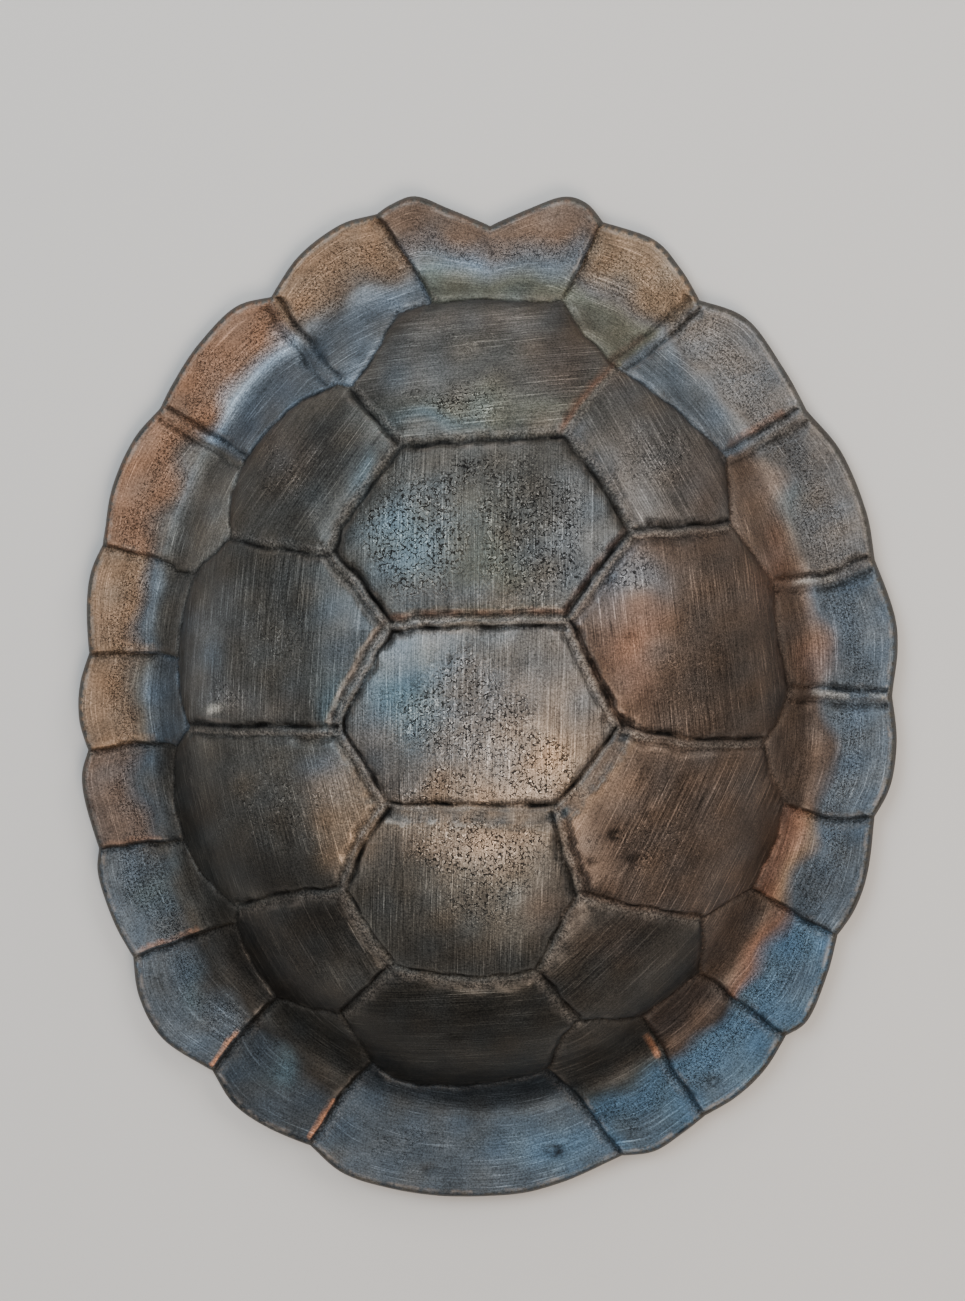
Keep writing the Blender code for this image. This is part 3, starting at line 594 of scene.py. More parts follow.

# Soft patches over those: tint and its light, strength, x, y, half sizes. Besides patina, many are painted
# light: straw pools of warm light on the dome's middle, teal and slate reflections of cool light, graphite
# and soot as painted shade, and one painted glint.
PATCHES = (
    ("slate", 0.9, 0.5, -33, 150, 18, 16),
    ("umber", 1, 0.6, 38, 152, 18, 16),
    ("pewter", 1.5, 0.7, 3, 171, 34, 7),
    ("graphite", 0.55, 0.9, 3, 146, 24, 9),
    ("olive", 0.75, 0.8, 5, 131, 38, 7),
    ("teal", 0.8, 0.4, -18, 126, 22, 4),
    ("graphite", 0.55, 0.6, 4, 106, 26, 8),
    ("teal", 0.85, 0.5, -29, 75, 14, 18),
    ("olive", 0.9, 0.7, 6, 64, 16, 22),
    ("slate", 0.8, 0.6, 43, 76, 18, 26),
    ("pewter", 1.2, 0.6, 2, 52, 30, 6),
    ("graphite", 0.8, 0.6, 2, 29, 32, 8),
    ("teal", 1.3, 0.85, -28, 8, 14, 18),
    ("pewter", 1.3, 0.4, -2, -4, 20, 18),
    ("straw", 1.1, 0.85, 36, -16, 18, 16),
    ("straw", 0.9, 0.5, -6, -33, 36, 8),
    ("straw", 1.1, 0.85, -1, -48, 32, 12),
    ("pewter", 1.9, 0.3, -4, -53, 26, 8),
    ("umber", 1.1, 0.5, 34, -80, 10, 16),
    ("soot", 1, 0.3, -7, -103, 36, 12),
    ("soot", 0.7, 0.5, -44, -143, 14, 12),
    ("graphite", 0.4, 0.9, -54, 108, 11, 18),
    ("teal", 0.8, 0.3, -48, 102, 3, 12),
    ("umber", 1, 0.4, -85, 112, 18, 14),
    ("slate", 0.8, 0.4, -53, 35, 12, 18),
    ("teal", 0.9, 0.6, -60, 6, 9, 12),
    ("soot", 1, 0.4, -74, 50, 10, 14),
    ("slate", 1.4, 0.6, -120, 24, 14, 22),
    ("pewter", 1.2, 0.5, -100, 3, 24, 8),
    ("straw", 1.7, 0.85, -56, -44, 12, 18),
    ("slate", 1.5, 0.5, -63, -24, 10, 10),
    ("soot", 0.85, 0.7, -118, -46, 18, 18),
    ("soot", 0.65, 0.85, -93, -70, 26, 14),
    ("graphite", 1.5, 0.6, -54, -113, 11, 13),
    # a painted highlight on the second left costal
    ("glint", 0.9, 0.8, -117, 0.7, 2.8, 1.6),
    ("umber", 1.25, 0.6, 100, 95, 14, 20),
    ("graphite", 0.7, 0.5, 50, 124, 10, 12),
    ("slate", 0.85, 0.5, 47, 101, 8, 14),
    ("copper", 0.95, 0.6, 67, 29, 12, 24),
    ("slate", 1, 0.7, 66, 60, 18, 10),
    ("bronze", 1.2, 0.5, 84, 0, 24, 8),
    ("soot", 1.2, 0.3, 108, 20, 22, 30),
    ("umber", 0.65, 0.8, 58, -51, 13, 16),
    ("umber", 0.9, 0.6, 118, -51, 14, 18),
    ("umber", 1, 0.5, 78, -84, 22, 9),
    ("umber", 1, 0.4, 60, -100, 14, 10),
    ("slate", 1, 0.5, 128, 166, 8, 26),
    ("copper", 1.2, 0.6, 128, 64, 8, 16),
    ("teal", 0.9, 0.4, 137, 88, 8, 9),
    ("copper", 1.1, 0.5, 147, 24, 6, 14),
    ("steel", 1.2, 0.8, 36, -203, 28, 12),
    ("slate", 0.7, 0.5, 104, -174, 12, 7),
    ("graphite", 0.6, 0.5, 72, -194, 12, 6),
    ("slate", 0.8, 0.5, 142, -128, 8, 12),
    ("teal", 0.9, 0.35, -150, -90, 8, 10),
    ("teal", 0.9, 0.3, -136, -134, 6, 10),
    ("teal", 0.8, 0.5, -94, -170, 8, 7),
)

# Tints along seams: tint, strength, from corner to corner, from and to these shares of the way, how far to
# the left, and half width
STREAKS = (
    ("rust", 0.45, "v23_r", "v23_l", 0, 1, -3.9, 1.5),
    ("rust", 0.5, "v23_r", "c12_r", 0.1, 1, 3.8, 1.4),
    ("bronze", 0.6, "v23_l", "c23_l", 0, 1, -3.6, 1.5),
    # painted shade beside these seams, as soot
    ("soot", 0.7, "c12_r", "v12_r", 0, 1, 3.2, 2.2),
    ("soot", 0.5, "v12_r", "v12_l", 0, 1, 3.0, 1.5),
    ("rust", 0.8, "v12_r", "r1", 0, 1, 2.4, 1.3),
    ("lead", 1, "v34_r", "v34_l", 0, 1, 3.7, 2.4),
    ("lead", 1, "c23_r", "v34_r", 0, 1, 3.7, 2.2),
    ("tan", 0.6, "c23_r", "v34_r", 0.05, 0.95, 8.0, 2.0),
    ("straw", 0.5, "L4", "l4", 0.1, 0.7, 3.0, 1.6),
    ("straw", 0.5, "L5", "l5", 0.1, 0.7, 3.0, 1.6),
    # rubbed bright metal along these brim seams, with painted glints on it
    ("burnish", 0.2, "L6", "l6", 0.1, 0.7, 2.6, 1.0),
    ("burnish", 0.35, "L7", "l7", 0.05, 0.6, 2.6, 1.0),
    ("burnish", 0.8, "L8", "l8", 0.02, 0.45, 2.3, 0.9),
    ("burnish", 0.65, "L9", "l9", 0.05, 0.45, 2.3, 0.9),
    ("burnish", 0.8, "r8", "R8", 0.22, 0.42, -2.8, 1.0),
    ("rust", 0.5, "r1", "R1", 0, 0.4, 4.6, 2.0),
    ("copper", 0.6, "r2", "R2", 0.1, 0.8, 4.8, 1.8),
    # painted highlights: glints on the ridges of the right brim's broad seams
    ("glint", 1, "r3", "R3", 0.2, 0.6, -0.4, 0.9),
    ("glint", 1, "r4", "R4", 0.25, 0.6, -0.4, 1.0),
    ("glint", 0.7, "r4", "R4", 0.8, 0.96, -0.2, 0.8),
)
STREAK_CRISP = 4  # exponent across a streak: higher has crisper sides
STREAK_MEAN = 0.75  # how whole a streak is before its ups and downs
BRUSHED_DOME, BRUSHED_BRIM = 1.0, 0.75
BRUSHED_MEAN, BRUSHED_RANGE = 0.85, (0.3, 1.3)

# Smooth noises, as above: how far tints stray, how they drift between warm and cool, and how strokes and
# streaks vary
STRAY = ((3.0, 30.0, 21), (3.0, 30.0, 22))
DRIFT = (0.04, 16.0, 41)
BRUSHED_UNEVEN = (0.25, 34.0, 51)
STREAK_UNEVEN = (0.25, 9.0, 61)

# Pitted patches: strength, x, y, half sizes
PITTED = (
    (0.35, -5, 160, 30, 12),
    (0.5, -10, 135, 30, 12),
    (1.0, -25, 80, 20, 25),
    (1.0, 25, 76, 22, 30),
    (0.6, 0, 102, 34, 12),
    (0.9, -4, 2, 28, 22),
    (0.9, 26, -20, 22, 16),
    (0.7, -12, -30, 26, 9),
    (1.0, 0, -55, 30, 14),
    (0.55, 6, -78, 24, 16),
    (0.5, -85, 105, 22, 18),
    (0.6, -110, 8, 14, 9),
    (0.4, -88, 34, 26, 26),
    (0.5, 80, 112, 20, 22),
    (0.5, 64, 62, 20, 12),
    (0.35, 92, 20, 26, 34),
    (0.45, 78, -55, 30, 24),
    (0.45, -90, -40, 34, 34),
    (0.35, -80, -108, 24, 18),
)


def lit(name, light=1):
    """A tint as light, from its screen values by the sRGB curve."""
    share = np.array(TINTS[name]) / 255
    return np.where(share > 0.04045, ((share + 0.055) / 1.055) ** 2.4, share / 12.92) * light


def inside(places, loop):
    """Which places lie inside a closed loop."""
    start, end = loop, np.roll(loop, -1, axis=0)
    rise = end - start
    spans = (start[:, 1] > places[:, None, 1]) != (end[:, 1] > places[:, None, 1])
    level = np.where(rise[:, 1] == 0, 1, rise[:, 1])
    crossing = start[:, 0] + (places[:, None, 1] - start[:, 1]) / level * rise[:, 0]
    return (spans & (crossing > places[:, None, 0])).sum(1) % 2 == 1


def members(places, corners):
    """The numbers of the places in a scute."""
    loop = joined(corners)
    some = near(places, loop, 0)
    return some[inside(places[some], loop)]


def streak(places, line, start, end, left, half_width):
    """1 along part of a line's left side, 0 away from it."""
    first, last = round(start * len(line)), round(end * len(line))
    path = (line + left_of(line) * left)[first:last]
    some = near(places, path, 3 * half_width)
    there = np.zeros(len(places))
    there[some] = np.exp(-((beside(places[some], path)[0] / half_width) ** STREAK_CRISP))
    return there


def finish_and_painted_light(places, rim):
    """The tint, with painted light and shade in it, brushing coordinates, pitting and strength of brushing at
    each place.
    """
    tint = np.tile(lit("graphite"), (len(places), 1))
    loose = places + np.column_stack([ripple(places, *noise) for noise in STRAY])
    share, loose_share = brim_share(places, rim), brim_share(loose, rim)
    turn, _ = polar(places)
    turns, _ = polar(rim)
    travel = np.concatenate([[0], np.cumsum(np.linalg.norm(np.diff(rim, axis=0), axis=1))])
    along = np.interp(turn, turns, travel, period=2 * math.pi)
    brush = np.column_stack([along, share * BRIM_WIDTH, np.zeros(len(places))])
    pitted = np.zeros(len(places))
    for number, (corners, *tones, stops, pits) in enumerate(BRIM_SCUTES.values()):
        some = members(places, corners)
        tones = np.array([lit(*tone) for tone in tones])
        tint[some] = np.column_stack([np.interp(loose_share[some], stops, tone) for tone in tones.T])
        brush[some, 2] = number
        pitted[some] = pits * np.exp(-(((loose_share[some] - BRIM_PITS_AT) / BRIM_PITS_OVER) ** 2))
    for number, (corners, degrees, name, light) in enumerate(DOME_SCUTES.values(), len(BRIM_SCUTES)):
        some = members(places, corners)
        tint[some] = lit(name, light)
        sine, cosine = math.sin(math.radians(degrees)), math.cos(math.radians(degrees))
        x, y = places[some].T
        brush[some] = np.column_stack([x * sine + y * cosine, x * cosine - y * sine, np.full(len(x), number)])
    for name, light, strength, *patch in PATCHES:
        mix = strength * blob(loose, *patch)[:, None]
        tint = tint * (1 - mix) + lit(name, light) * mix
    whole = np.clip(STREAK_MEAN + ripple(places, *STREAK_UNEVEN), 0, 1)
    for name, strength, first, last, *path in STREAKS:
        mix = (strength * whole * streak(places, lines[first, last], *path))[:, None]
        tint = tint * (1 - mix) + lit(name) * mix
    for strength, *patch in PITTED:
        pitted = np.maximum(pitted, strength * blob(loose, *patch))
    warm = ripple(places, *DRIFT)[:, None]
    brushed = np.where(brush[:, 2] < len(BRIM_SCUTES), BRUSHED_BRIM, BRUSHED_DOME)
    brushed *= np.clip(BRUSHED_MEAN + ripple(places, *BRUSHED_UNEVEN), *BRUSHED_RANGE)
    return tint * (1 + warm * (1, 0, -1)), brush, pitted, brushed


# ---------------------------------------
# The carapace's mesh. The outside is triangulated in plan, with rows of points along every seam, the brim's
# edge is a stack of rings that lean out and round off, and the underside has the hollow and the flat ring.

MILLIMETRE = 0.001
RIM_STEP = 1.5
SEAM_STEP = 1.2
TOP_GRID = 1.7
CELL = 0.8  # where seams meet, at most one point is kept in each cell of this size
GRID_GAP = 1.0
RIM_GAP = 0.45
EDGE_TOP = 13.1
EDGE_RINGS = (  # down the brim's edge: how far out, how high, and how much of the top's ups and downs it has
    (0.6, 12.7, 1), (1.1, 12.0, 0.9), (1.6, 11.0, 0.7), (2.1, 9.9, 0.5), (2.4, 8.8, 0.3), (2.4, 7.8, 0.1),
    (2.0, 6.9, 0), (1.3, 6.3, 0),
)
ROUGH_FROM = 1.6  # from this far out, the edge has its own rough finish in full
SMOOTHED_OVER = 3  # rim points on each side, for the direction out of the rim
UNDER_STEP = 4.0
INNERMOST = 0.03  # the last oval in the hollow, as a share of its half sides
LIP_RINGS = (0, 0.25, 0.5, 0.58, 0.66, 0.74, 0.82, 0.9, 0.96)  # shares of the brim's width


def hex_grid(low, high, spacing):
    """Evenly spread places in a rectangle."""
    rows = np.arange(low[1], high[1], spacing * math.sqrt(3) / 2)
    columns = np.arange(low[0], high[0], spacing)
    shift = spacing / 2 * (np.arange(len(rows)) % 2)
    return np.column_stack([(columns + shift[:, None]).ravel(), np.repeat(rows, len(columns))])


def thinned(places, cell):
    """The places, with at most one in each cell of a grid, and of the same grid moved by half a cell."""
    for shift in (0, cell / 2):
        cells = np.floor((places + shift) / cell).astype(int)
        places = places[np.sort(np.unique(cells, axis=0, return_index=True)[1])]
    return places


def sheet(outline, spots):
    """A triangulated plan inside the outline, whose points come first."""
    places = [Vector(place) for place in np.vstack([outline, spots])]
    found = delaunay_2d_cdt(places, [], [list(range(len(outline)))], 1, TINY)
    return np.array([place[:] for place in found[0]]), np.array(found[2])


def without(places, line, low, high):
    """The places, except those whose distance to the left of a line is between these two."""
    some = near(places, line, max(-low, high))
    side, _ = beside(places[some], line)
    return np.delete(places, some[(side > low) & (side < high)], axis=0)


def oval(share, step):
    """A ring of places around the hollow, at this share of its half sides."""
    half_width, half_length = share * (DOME_HALF_WIDTH - SIDE_WALL), share * (DOME_HALF_LENGTH - SIDE_WALL)
    turn = np.linspace(0, 2 * math.pi, max(6, round(math.pi * (half_width + half_length) / step)), False)
    return DOME_CENTRE + np.column_stack([half_width * np.cos(turn), half_length * np.sin(turn)])


def brim_ring(rim, share, step):
    """A ring of places this share of the way from the dome's foot to the brim's edge."""
    turn = np.linspace(-math.pi, math.pi, round(2 * math.pi * DOME_HALF_LENGTH / step), endpoint=False)
    way = np.column_stack([np.cos(turn), np.sin(turn)])
    foot_reach = 1 / across(way + DOME_CENTRE, DOME_HALF_WIDTH, DOME_HALF_LENGTH)
    return DOME_CENTRE + way * (foot_reach + share * (reach_of(rim, turn) - foot_reach))[:, None]


# the outside
rim = np.vstack([resampled(line, RIM_STEP)[:-1] for kind, line in seam_lines if kind == "rim"])
rows = []
for kind, line in seam_lines:
    for number, (offset, _) in enumerate(SECTIONS[kind]):
        row = resampled(line + left_of(line) * offset, SEAM_STEP)
        rows.append(row if number % 2 else (row[:-1] + row[1:]) / 2)
seam_spots = thinned(np.vstack(rows), CELL)
grid_spots = hex_grid(rim.min(0), rim.max(0), TOP_GRID)
for kind, line in seam_lines:
    low, high = SECTIONS[kind][0][0] - GRID_GAP, SECTIONS[kind][-1][0] + GRID_GAP
    grid_spots = without(grid_spots, line, low, high)
    if kind == "rim":
        grid_spots = without(grid_spots, line, -high, high)
        seam_spots = without(seam_spots, line, -RIM_GAP, RIM_GAP)
spots = np.vstack([seam_spots, grid_spots])
plan, top_faces = sheet(rim, spots[brim_share(spots, rim) < 1])
height, floor, bands = relief(plan)
points = [raised(plan, rim, height)]
tint, brush, pitted, brushed = finish_and_painted_light(plan, rim)
none = np.zeros(len(plan))
cuts, tints, brushes = [bands], [tint], [brush]
zones = [np.column_stack([pitted, brushed, floor])]
walls = [np.column_stack([none, none, brush[:, 2] < len(BRIM_SCUTES)])]

# the edge
way_out = -left_of(np.vstack([rim[-1:], rim, rim[:1]]))[1:-1]
way_out = sum(np.roll(way_out, turn, axis=0) for turn in range(-SMOOTHED_OVER, SMOOTHED_OVER + 1))
way_out /= np.linalg.norm(way_out, axis=1)[:, None]
count = len(rim)
top_edge = points[0][:count]
faces = [top_faces]
upper, following = np.arange(count), len(plan)
for out, level, share in EDGE_RINGS:
    ring = rim + way_out * out
    points.append(np.column_stack([ring, level + share * (top_edge[:, 2] - EDGE_TOP)]))
    lower = following + np.arange(count)
    faces.append(np.column_stack([np.roll(upper, 1), np.roll(lower, 1), lower]))
    faces.append(np.column_stack([np.roll(upper, 1), lower, upper]))
    wall = min(1, out / ROUGH_FROM)
    cuts.append(bands[:count] * (1 - wall))
    zones.append(zones[0][:count] * (1, 1, 1 - wall))
    walls.append(np.tile((wall, 0, 1), (count, 1)))
    tints.append(tint[:count])
    brushes.append(brush[:count])
    upper, following = lower, following + count

# the underside
at_knee, further = vault(np.array([HOLLOW_KNEE, HOLLOW_KNEE + 1]), DOME_HEIGHT - WALL, HOLLOW_KNEE)
mouth = HOLLOW_KNEE + at_knee / (at_knee - further)  # where the hollow's side runs down to the ground
shares = np.linspace(mouth, INNERMOST, round(DOME_HALF_WIDTH / UNDER_STEP))
ovals = [oval(share, UNDER_STEP) for share in shares]
lips = [brim_ring(rim, share, UNDER_STEP) for share in LIP_RINGS]
lip = points[-1]
under_plan, under_faces = sheet(lip[:, :2], np.vstack(ovals + lips))
under_plan = under_plan[count:]
points.append(np.column_stack([under_plan, under_form(under_plan, rim)]))
numbers = np.concatenate([upper, following + np.arange(len(under_plan))])
faces.append(numbers[under_faces][:, ::-1])
none = np.zeros((len(under_plan), 3))
cuts.append(none)
zones.append(none)
walls.append(none + (0, 1, 0))
tints.append(none + lit("umber"))
brushes.append(np.column_stack([under_plan, none[:, 0]]))

mesh = bpy.data.meshes.new("carapace_cast")
mesh.from_pydata(np.vstack(points) * MILLIMETRE, [], np.vstack(faces))
for name, rows in (("brush", brushes), ("cut", cuts), ("zone", zones), ("wall", walls)):
    mesh.attributes.new(name, "FLOAT_VECTOR", "POINT").data.foreach_set("vector", np.vstack(rows).ravel())
colours = np.column_stack([np.vstack(tints), np.ones(len(mesh.vertices))])
mesh.attributes.new("tint", "FLOAT_COLOR", "POINT").data.foreach_set("color", colours.ravel())
mesh.shade_smooth()
carapace = bpy.data.objects.new("carapace_cast", mesh)
bpy.context.scene.collection.objects.link(carapace)


# ---------------------------------------
# The skin of the casting: low swells over the whole surface, grainy floors in the grooves as they came from
# the mould, and pits where the metal boiled. One Geometry Nodes tree moves the mesh along its normals.

class Wire:
    """A node's output in an expression. Sums, products and the like add Math nodes to its tree."""

    def __init__(self, tree, socket=None):
        self.tree, self.socket = tree, socket

    def node(self, kind, settings=None, sockets=None, output=0):
        """A new node's output, with its settings made first and then its sockets' values or links."""
        node = self.tree.nodes.new(kind)
        for name, setting in (settings or {}).items():
            setattr(node, name, setting)
        for name, value in (sockets or {}).items():
            if isinstance(value, Wire):
                self.tree.links.new(value.socket, node.inputs[name])
            else:
                node.inputs[name].default_value = value
        return Wire(self.tree, node.outputs[output])

    def maths(self, operation, *values):
        return self.node("ShaderNodeMath", {"operation": operation}, dict(enumerate(values)))

    def between(self, low, high):
        """0 below low, 1 above high, eased from one to the other."""
        sockets = {"Value": self, "From Min": low, "From Max": high}
        return self.node("ShaderNodeMapRange", {"interpolation_type": "SMOOTHSTEP"}, sockets)

    def part(self, axis):
        return self.node("ShaderNodeSeparateXYZ", None, {0: self}, axis)

    def scaled(self, amount):
        """A colour or a vector times a number."""
        return self.node("ShaderNodeVectorMath", {"operation": "SCALE"}, {0: self, "Scale": amount})

    def __add__(self, other):
        return self.maths("ADD", self, other)

    def __sub__(self, other):
        return self.maths("SUBTRACT", self, other)

    def __rsub__(self, other):
        return self.maths("SUBTRACT", other, self)

    def __mul__(self, other):
        return self.maths("MULTIPLY", self, other)

    def __rtruediv__(self, other):
        return self.maths("DIVIDE", other, self)

    __radd__, __rmul__ = __add__, __mul__


SKIN = {  # inputs of the tree, in metres
    "Swell Height": 0.0010, "Swell Size": 0.028,
    "Grain Height": 0.0014, "Grain Size": 0.0020,
    "Pit Depth": 0.0003, "Pit Size": 0.0032,
    "Flat Up To": 0.0004, "Cast From": 0.0030,
}
SKIN_SEED = 11.0
SWELL_DETAIL, GRAIN_DETAIL, PIT_DETAIL = 1.0, 2.0, 1.0
PIT_FROM = (0.56, 0.68)  # where in the pits' noise a pit starts, and where it is at its deepest

skin = bpy.data.node_groups.new("cast_skin", "GeometryNodeTree")
skin.is_modifier = True
skin.interface.new_socket("Geometry", in_out="INPUT", socket_type="NodeSocketGeometry")
for name in SKIN:
    skin.interface.new_socket(name, in_out="INPUT", socket_type="NodeSocketFloat")
skin.interface.new_socket("Seed", in_out="INPUT", socket_type="NodeSocketFloat")
skin.interface.new_socket("Metal", in_out="INPUT", socket_type="NodeSocketMaterial")
skin.interface.new_socket("Geometry", in_out="OUTPUT", socket_type="NodeSocketGeometry")
source = skin.nodes.new("NodeGroupInput")
given = {socket.name: Wire(skin, socket) for socket in source.outputs if socket.name}
start = given["Geometry"]
position = start.node("GeometryNodeInputPosition")
zone = start.node("GeometryNodeInputNamedAttribute", {"data_type": "FLOAT_VECTOR"}, {"Name": "zone"})


def skin_noise(size, detail):
    sockets = {"Vector": position, "W": given["Seed"], "Scale": 1 / size, "Detail": detail}
    return start.node("ShaderNodeTexNoise", {"noise_dimensions": "4D"}, sockets)


# noises are about 0.5 in the middle
swell = (skin_noise(given["Swell Size"], SWELL_DETAIL) - 0.5) * given["Swell Height"]
grain = (skin_noise(given["Grain Size"], GRAIN_DETAIL) - 0.5) * given["Grain Height"] * zone.part(2)
pit = skin_noise(given["Pit Size"], PIT_DETAIL).between(*PIT_FROM) * given["Pit Depth"] * zone.part(0)
free = position.part(2).between(given["Flat Up To"], given["Cast From"])
rise = (swell + grain - pit) * free
offset = start.node("GeometryNodeInputNormal").scaled(rise)
moved = start.node("GeometryNodeSetPosition", None, {"Geometry": start, "Offset": offset})
real = start.node("GeometryNodeRealizeInstances", None, {"Geometry": moved})
cast = start.node("GeometryNodeSetMaterial", None, {"Geometry": real, "Material": given["Metal"]})
skin.links.new(cast.socket, skin.nodes.new("NodeGroupOutput").inputs[0])


# ---------------------------------------
# The metal: dark, patinated, brushed by hand along each scute, and worn bright at the scutes' edges, with a
# painted highlight there too. Its colour also holds the painted light and shade of the tint attribute. The
# grooves keep a rough dull skin, with soot and painted shade in their slits.

GRIT_DARK = (0.014, 0.012, 0.010, 1)
SAND_DARK = (0.045, 0.040, 0.036, 1)
SAND_TONE = (0.40, 0.35, 0.30, 1)
SOOT_AND_SHADE_TONE = (0.004, 0.0035, 0.003, 1)
# worn edges: rubbed bright metal, and a painted highlight on the edges
WORN_HIGHLIGHT_TONE = (0.40, 0.34, 0.29, 1)
UNDER_TONE = (0.045, 0.038, 0.032, 1)
METALLIC = 0.85

# Noises: marks a millimetre, detail and roughness
STROKES, SCRATCHES = (1.0, 3.0, 0.7), (1.0, 1.0, 0.5)
MOTTLE, GRAIN, GRIT, WEAR_AND_HIGHLIGHT = (0.05, 4.0, 0.6), (1.2, 2.0, 0.75), (0.95, 3.0, 0.8), (0.12, 3.0, 0.7)
VEINS, BREAKS, PITTING = (0.5, 2.0, 0.55), (0.62, 1.0, 0.5), (0.11, 2.0, 0.5)
STROKE_STRETCH, SCRATCH_STRETCH = (0.045, 1.8), (0.035, 1.6)  # marks a millimetre, along and across
SCUTES_APART = 13.7  # how far apart one scute's strokes and the next one's lie in their noise
BRIM_FINER = 0.9  # how much finer the brim's pits are

# Where a noise starts to show, and where it shows in full
SCRATCHED, BROKEN, PITTED_FROM, WORN_HIGHLIGHT_FROM = (0.63, 0.68), (0.45, 0.53), (0.42, 0.9), (0.42, 0.62)
GRIT_LIGHT, SAND_LIGHT, SOOT_AND_SHADE_THICK = (0.36, 0.66), (0.4, 0.62), (0.25, 0.5)

# From the veins' middle outwards: a pit's side, and the inner and outer side of its rim, which is painted
# bright as a highlight
PIT_SIDE, RIM_INSIDE, RIM_OUTSIDE = (0.015, 0.06), (0.04, 0.07), (0.09, 0.14)

# How strongly marks shade the tint, and how far the other tones cover it
STROKE_SHADE, MOTTLE_SHADE, GRAIN_SHADE, LEAST_SHADE = 2.8, 1.5, 2.8, 0.25
WORN_HIGHLIGHT_COVER, GROOVE_COVER, SAND_COVER, WALL_COVER = 0.45, 0.8, 0.9, 0.8
ROUGHNESS = 0.4

metal = bpy.data.materials.new("brushed_patinated_metal_and_painted_light")
metal.use_nodes = True
shader = metal.node_tree.nodes["Principled BSDF"]
base = Wire(metal.node_tree)
place = base.node("ShaderNodeTexCoord", output="Object").scaled(1 / MILLIMETRE)


def attribute(name, output):
    return base.node("ShaderNodeAttribute", {"attribute_name": name}, output=output)


def noise(vector, scale, detail, roughness):
    sockets = {"Vector": vector, "Scale": scale, "Detail": detail, "Roughness": roughness}
    return base.node("ShaderNodeTexNoise", None, sockets)


def stretched(vector, along, over):
    """Brushing coordinates, scaled along the strokes and across them, and apart from scute to scute."""
    sockets = {0: vector, 1: (along, over, SCUTES_APART)}
    return base.node("ShaderNodeVectorMath", {"operation": "MULTIPLY"}, sockets)


def mixed(factor, first, second):
    return base.node("ShaderNodeMix", {"data_type": "RGBA"}, {0: factor, 6: first, 7: second}, 2)


brush_at = attribute("brush", "Vector")
cut_at = attribute("cut", "Vector")
zone_at = attribute("zone", "Vector")
wall_at = attribute("wall", "Vector")
soot, sand, rubbed_lit_edge = cut_at.part(SOOT_AND_SHADE), cut_at.part(SAND), cut_at.part(RUBBED_AND_LIT)
in_pitted, brushed, in_groove = zone_at.part(0), zone_at.part(1), zone_at.part(2)
on_wall, under, on_brim = wall_at.part(0), wall_at.part(1), wall_at.part(2)
open_skin = (1 - in_groove) * (1 - on_wall) * (1 - under)

# marks on the skin, each noise about 0.5 in the middle
strokes = (noise(stretched(brush_at, *STROKE_STRETCH), *STROKES) - 0.5) * brushed
scratches = noise(stretched(brush_at, *SCRATCH_STRETCH), *SCRATCHES).between(*SCRATCHED) * brushed
mottle = noise(place, *MOTTLE) - 0.5
grain = noise(place, *GRAIN) - 0.5
pit_at = place.scaled(1 + on_brim * BRIM_FINER)
veins = noise(pit_at, *VEINS) - 0.5
broken = noise(pit_at, *BREAKS).between(*BROKEN)
pitting = (noise(place, *PITTING) * 0.6 + in_pitted).between(*PITTED_FROM) * broken
pits = (1 - veins.maths("ABSOLUTE", veins).between(*PIT_SIDE)) * pitting
pit_rims = veins.between(*RIM_INSIDE) * (1 - veins.between(*RIM_OUTSIDE)) * pitting
grit = noise(place, *GRIT)
# the scutes' and the rim's worn edges, rubbed bright and painted lighter as a highlight
worn_and_highlit = rubbed_lit_edge * noise(place, *WEAR_AND_HIGHLIGHT).between(*WORN_HIGHLIGHT_FROM)

# the colour, from the tint up to the soot and painted shade on top
shade = (1 + strokes * STROKE_SHADE) * (1 + mottle * MOTTLE_SHADE) * (1 + grain * GRAIN_SHADE)
# the tint holds the patina together with painted light and shade
tone = attribute("tint", "Color").scaled(shade.maths("MAXIMUM", shade, LEAST_SHADE))
# the pits' rims are painted lighter as highlights, and the pits darker; scratches show lighter metal
tone = tone.scaled(1 + scratches * open_skin + pit_rims * open_skin * (1.5 - on_brim * 0.8))
tone = tone.scaled(1 - pits * (0.85 - on_brim * 0.25))
tone = mixed(worn_and_highlit * WORN_HIGHLIGHT_COVER, tone, WORN_HIGHLIGHT_TONE)
tone = mixed(in_groove * GROOVE_COVER, tone, tone.scaled(0.3 + grit.between(*GRIT_LIGHT) * 1.5))
tone = mixed(sand * SAND_COVER, tone, mixed(grit.between(*SAND_LIGHT), SAND_DARK, SAND_TONE))
tone = mixed(on_wall * WALL_COVER, tone, UNDER_TONE)
tone = mixed(under, tone, mixed(grit, GRIT_DARK, UNDER_TONE))
# soot with painted shade in the seams' slits and around the dents
tone = mixed(soot * (0.6 + grit.between(*SOOT_AND_SHADE_THICK) * 0.4), tone, SOOT_AND_SHADE_TONE)

# roughness, and the height of the marks in millimetres
rough = ROUGHNESS + on_brim * 0.12 + strokes * 0.3 + grain * 0.2 + pits * 0.2 + in_groove * 0.18 + under * 0.3
marks = strokes * 0.07 + scratches * 0.02 + grain * 0.12 - pits * 0.2 + pit_rims * 0.05
marks = marks * open_skin + grit * 0.5 * in_groove + grit * 0.12 * (on_wall + under)
bump = base.node("ShaderNodeBump", None, {"Strength": 1.0, "Distance": MILLIMETRE, "Height": marks})
for name, value in (("Base Color", tone), ("Roughness", rough), ("Normal", bump)):
    metal.node_tree.links.new(value.socket, shader.inputs[name])
shader.inputs["Metallic"].default_value = METALLIC

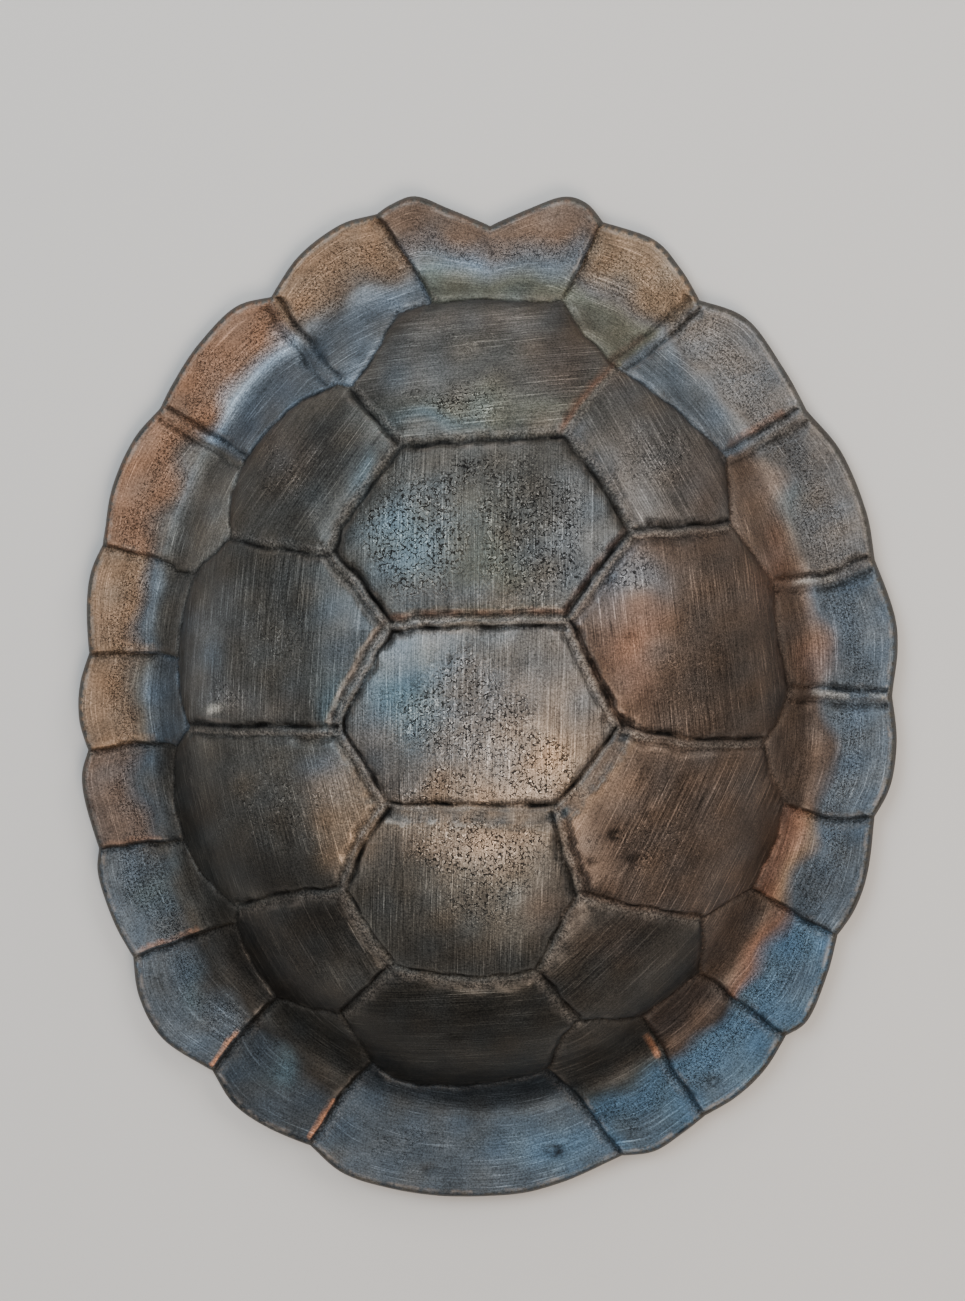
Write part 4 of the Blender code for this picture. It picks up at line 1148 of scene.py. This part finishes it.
# cast the skin, and make its box the solid's own
modifier = carapace.modifiers.new("cast_skin", "NODES")
modifier.node_group = skin
inputs = {**SKIN, "Seed": SKIN_SEED, "Metal": metal}
for item in skin.interface.items_tree:
    if item.name in inputs:
        modifier[item.identifier] = inputs[item.name]
finished = bpy.data.meshes.new_from_object(carapace.evaluated_get(bpy.context.evaluated_depsgraph_get()))
carapace.modifiers.remove(modifier)
carapace.data = finished
bpy.data.meshes.remove(mesh)
places = np.empty(len(finished.vertices) * 3)
finished.vertices.foreach_get("co", places)
places = places.reshape(-1, 3)
low, high = np.array(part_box("carapace"))
own_low, own_high = places.min(0), places.max(0)
places = low + (places - own_low) * (high - low) / (own_high - own_low)
finished.vertices.foreach_set("co", places.ravel())
finished.update()
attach(carapace, "root")
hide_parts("carapace")


# ---------------------------------------
# The floor: a plain pale sheet at the height of the shell's flat ring. It isn't part of the object. It fills
# the camera's own view, and its far corner shows in low ones.

FLOOR_SIDE = 6.0
FLOOR_TONE, FLOOR_ROUGHNESS = (0.62, 0.60, 0.57, 1), 0.9

floor_mesh = bpy.data.meshes.new("floor")
half = FLOOR_SIDE / 2
floor_corners = [(-half, -half, 0), (half, -half, 0), (half, half, 0), (-half, half, 0)]
floor_mesh.from_pydata(floor_corners, [], [(0, 1, 2, 3)])
floor_sheet = bpy.data.objects.new("floor", floor_mesh)
bpy.context.scene.collection.objects.link(floor_sheet)
pale = bpy.data.materials.new("pale_floor")
pale.use_nodes = True
pale.node_tree.nodes["Principled BSDF"].inputs["Base Color"].default_value = FLOOR_TONE
pale.node_tree.nodes["Principled BSDF"].inputs["Roughness"].default_value = FLOOR_ROUGHNESS
floor_mesh.materials.append(pale)


# ---------------------------------------
# Light: five soft boxes aimed at the shell's middle, in a dim room. A warm one hangs over the tail end and a
# cool one over the left shoulder. The others stand lower: beyond the head, to the right, and a weak one to
# the left.

SOFT_BOXES = {  # place, width, length, watts and colour
    "softbox_warm": ((0.45, -0.85, 1.75), 1.0, 0.8, 24, (1.0, 0.86, 0.74)),
    "softbox_cool": ((-0.8, 0.7, 1.75), 1.1, 1.0, 24, (0.76, 0.88, 1.0)),
    "softbox_head": ((-0.2, 2.0, 1.0), 1.4, 0.8, 18, (0.95, 0.97, 1.0)),
    "softbox_right": ((1.15, 0.75, 1.2), 1.1, 1.1, 18, (1.0, 0.94, 0.88)),
    "softbox_left": ((-1.6, -0.4, 0.7), 1.1, 0.8, 2.5, (1.0, 0.96, 0.92)),
}
ROOM_TONE, ROOM_STRENGTH = (0.55, 0.58, 0.62, 1), 0.38

for name, (box_at, width, length, watts, colour) in SOFT_BOXES.items():
    light = bpy.data.lights.new(name, "AREA")
    light.shape = "RECTANGLE"
    light.size, light.size_y, light.energy, light.color = width, length, watts, colour
    box = bpy.data.objects.new(name, light)
    box.location = box_at
    box.rotation_euler = (-Vector(box_at)).to_track_quat("-Z", "Y").to_euler()
    bpy.context.scene.collection.objects.link(box)
room = bpy.data.worlds.new("room")
room.use_nodes = True
room.node_tree.nodes["Background"].inputs["Color"].default_value = ROOM_TONE
room.node_tree.nodes["Background"].inputs["Strength"].default_value = ROOM_STRENGTH
bpy.context.scene.world = room


# ---------------------------------------
# Camera: it looks down on the shell from a little to its right and its head end, with the head at the top of
# the picture.

CAMERA_AT = (0.0769, 0.1179, 1.3585)
CAMERA_AIM = (-0.0006, 0.0238, 0.014)
LENS, SENSOR = 83.0, 36.0  # millimetres

camera = bpy.data.cameras.new("camera")
camera.sensor_fit = "VERTICAL"
camera.sensor_height = SENSOR
camera.lens = LENS
viewer = bpy.data.objects.new("camera", camera)
viewer.location = CAMERA_AT
ahead = (Vector(CAMERA_AIM) - Vector(CAMERA_AT)).normalized()
right = ahead.cross(Vector((0, 1, 0))).normalized()
viewer.rotation_euler = Matrix((right, right.cross(ahead), -ahead)).transposed().to_euler()
bpy.context.scene.collection.objects.link(viewer)
bpy.context.scene.camera = viewer
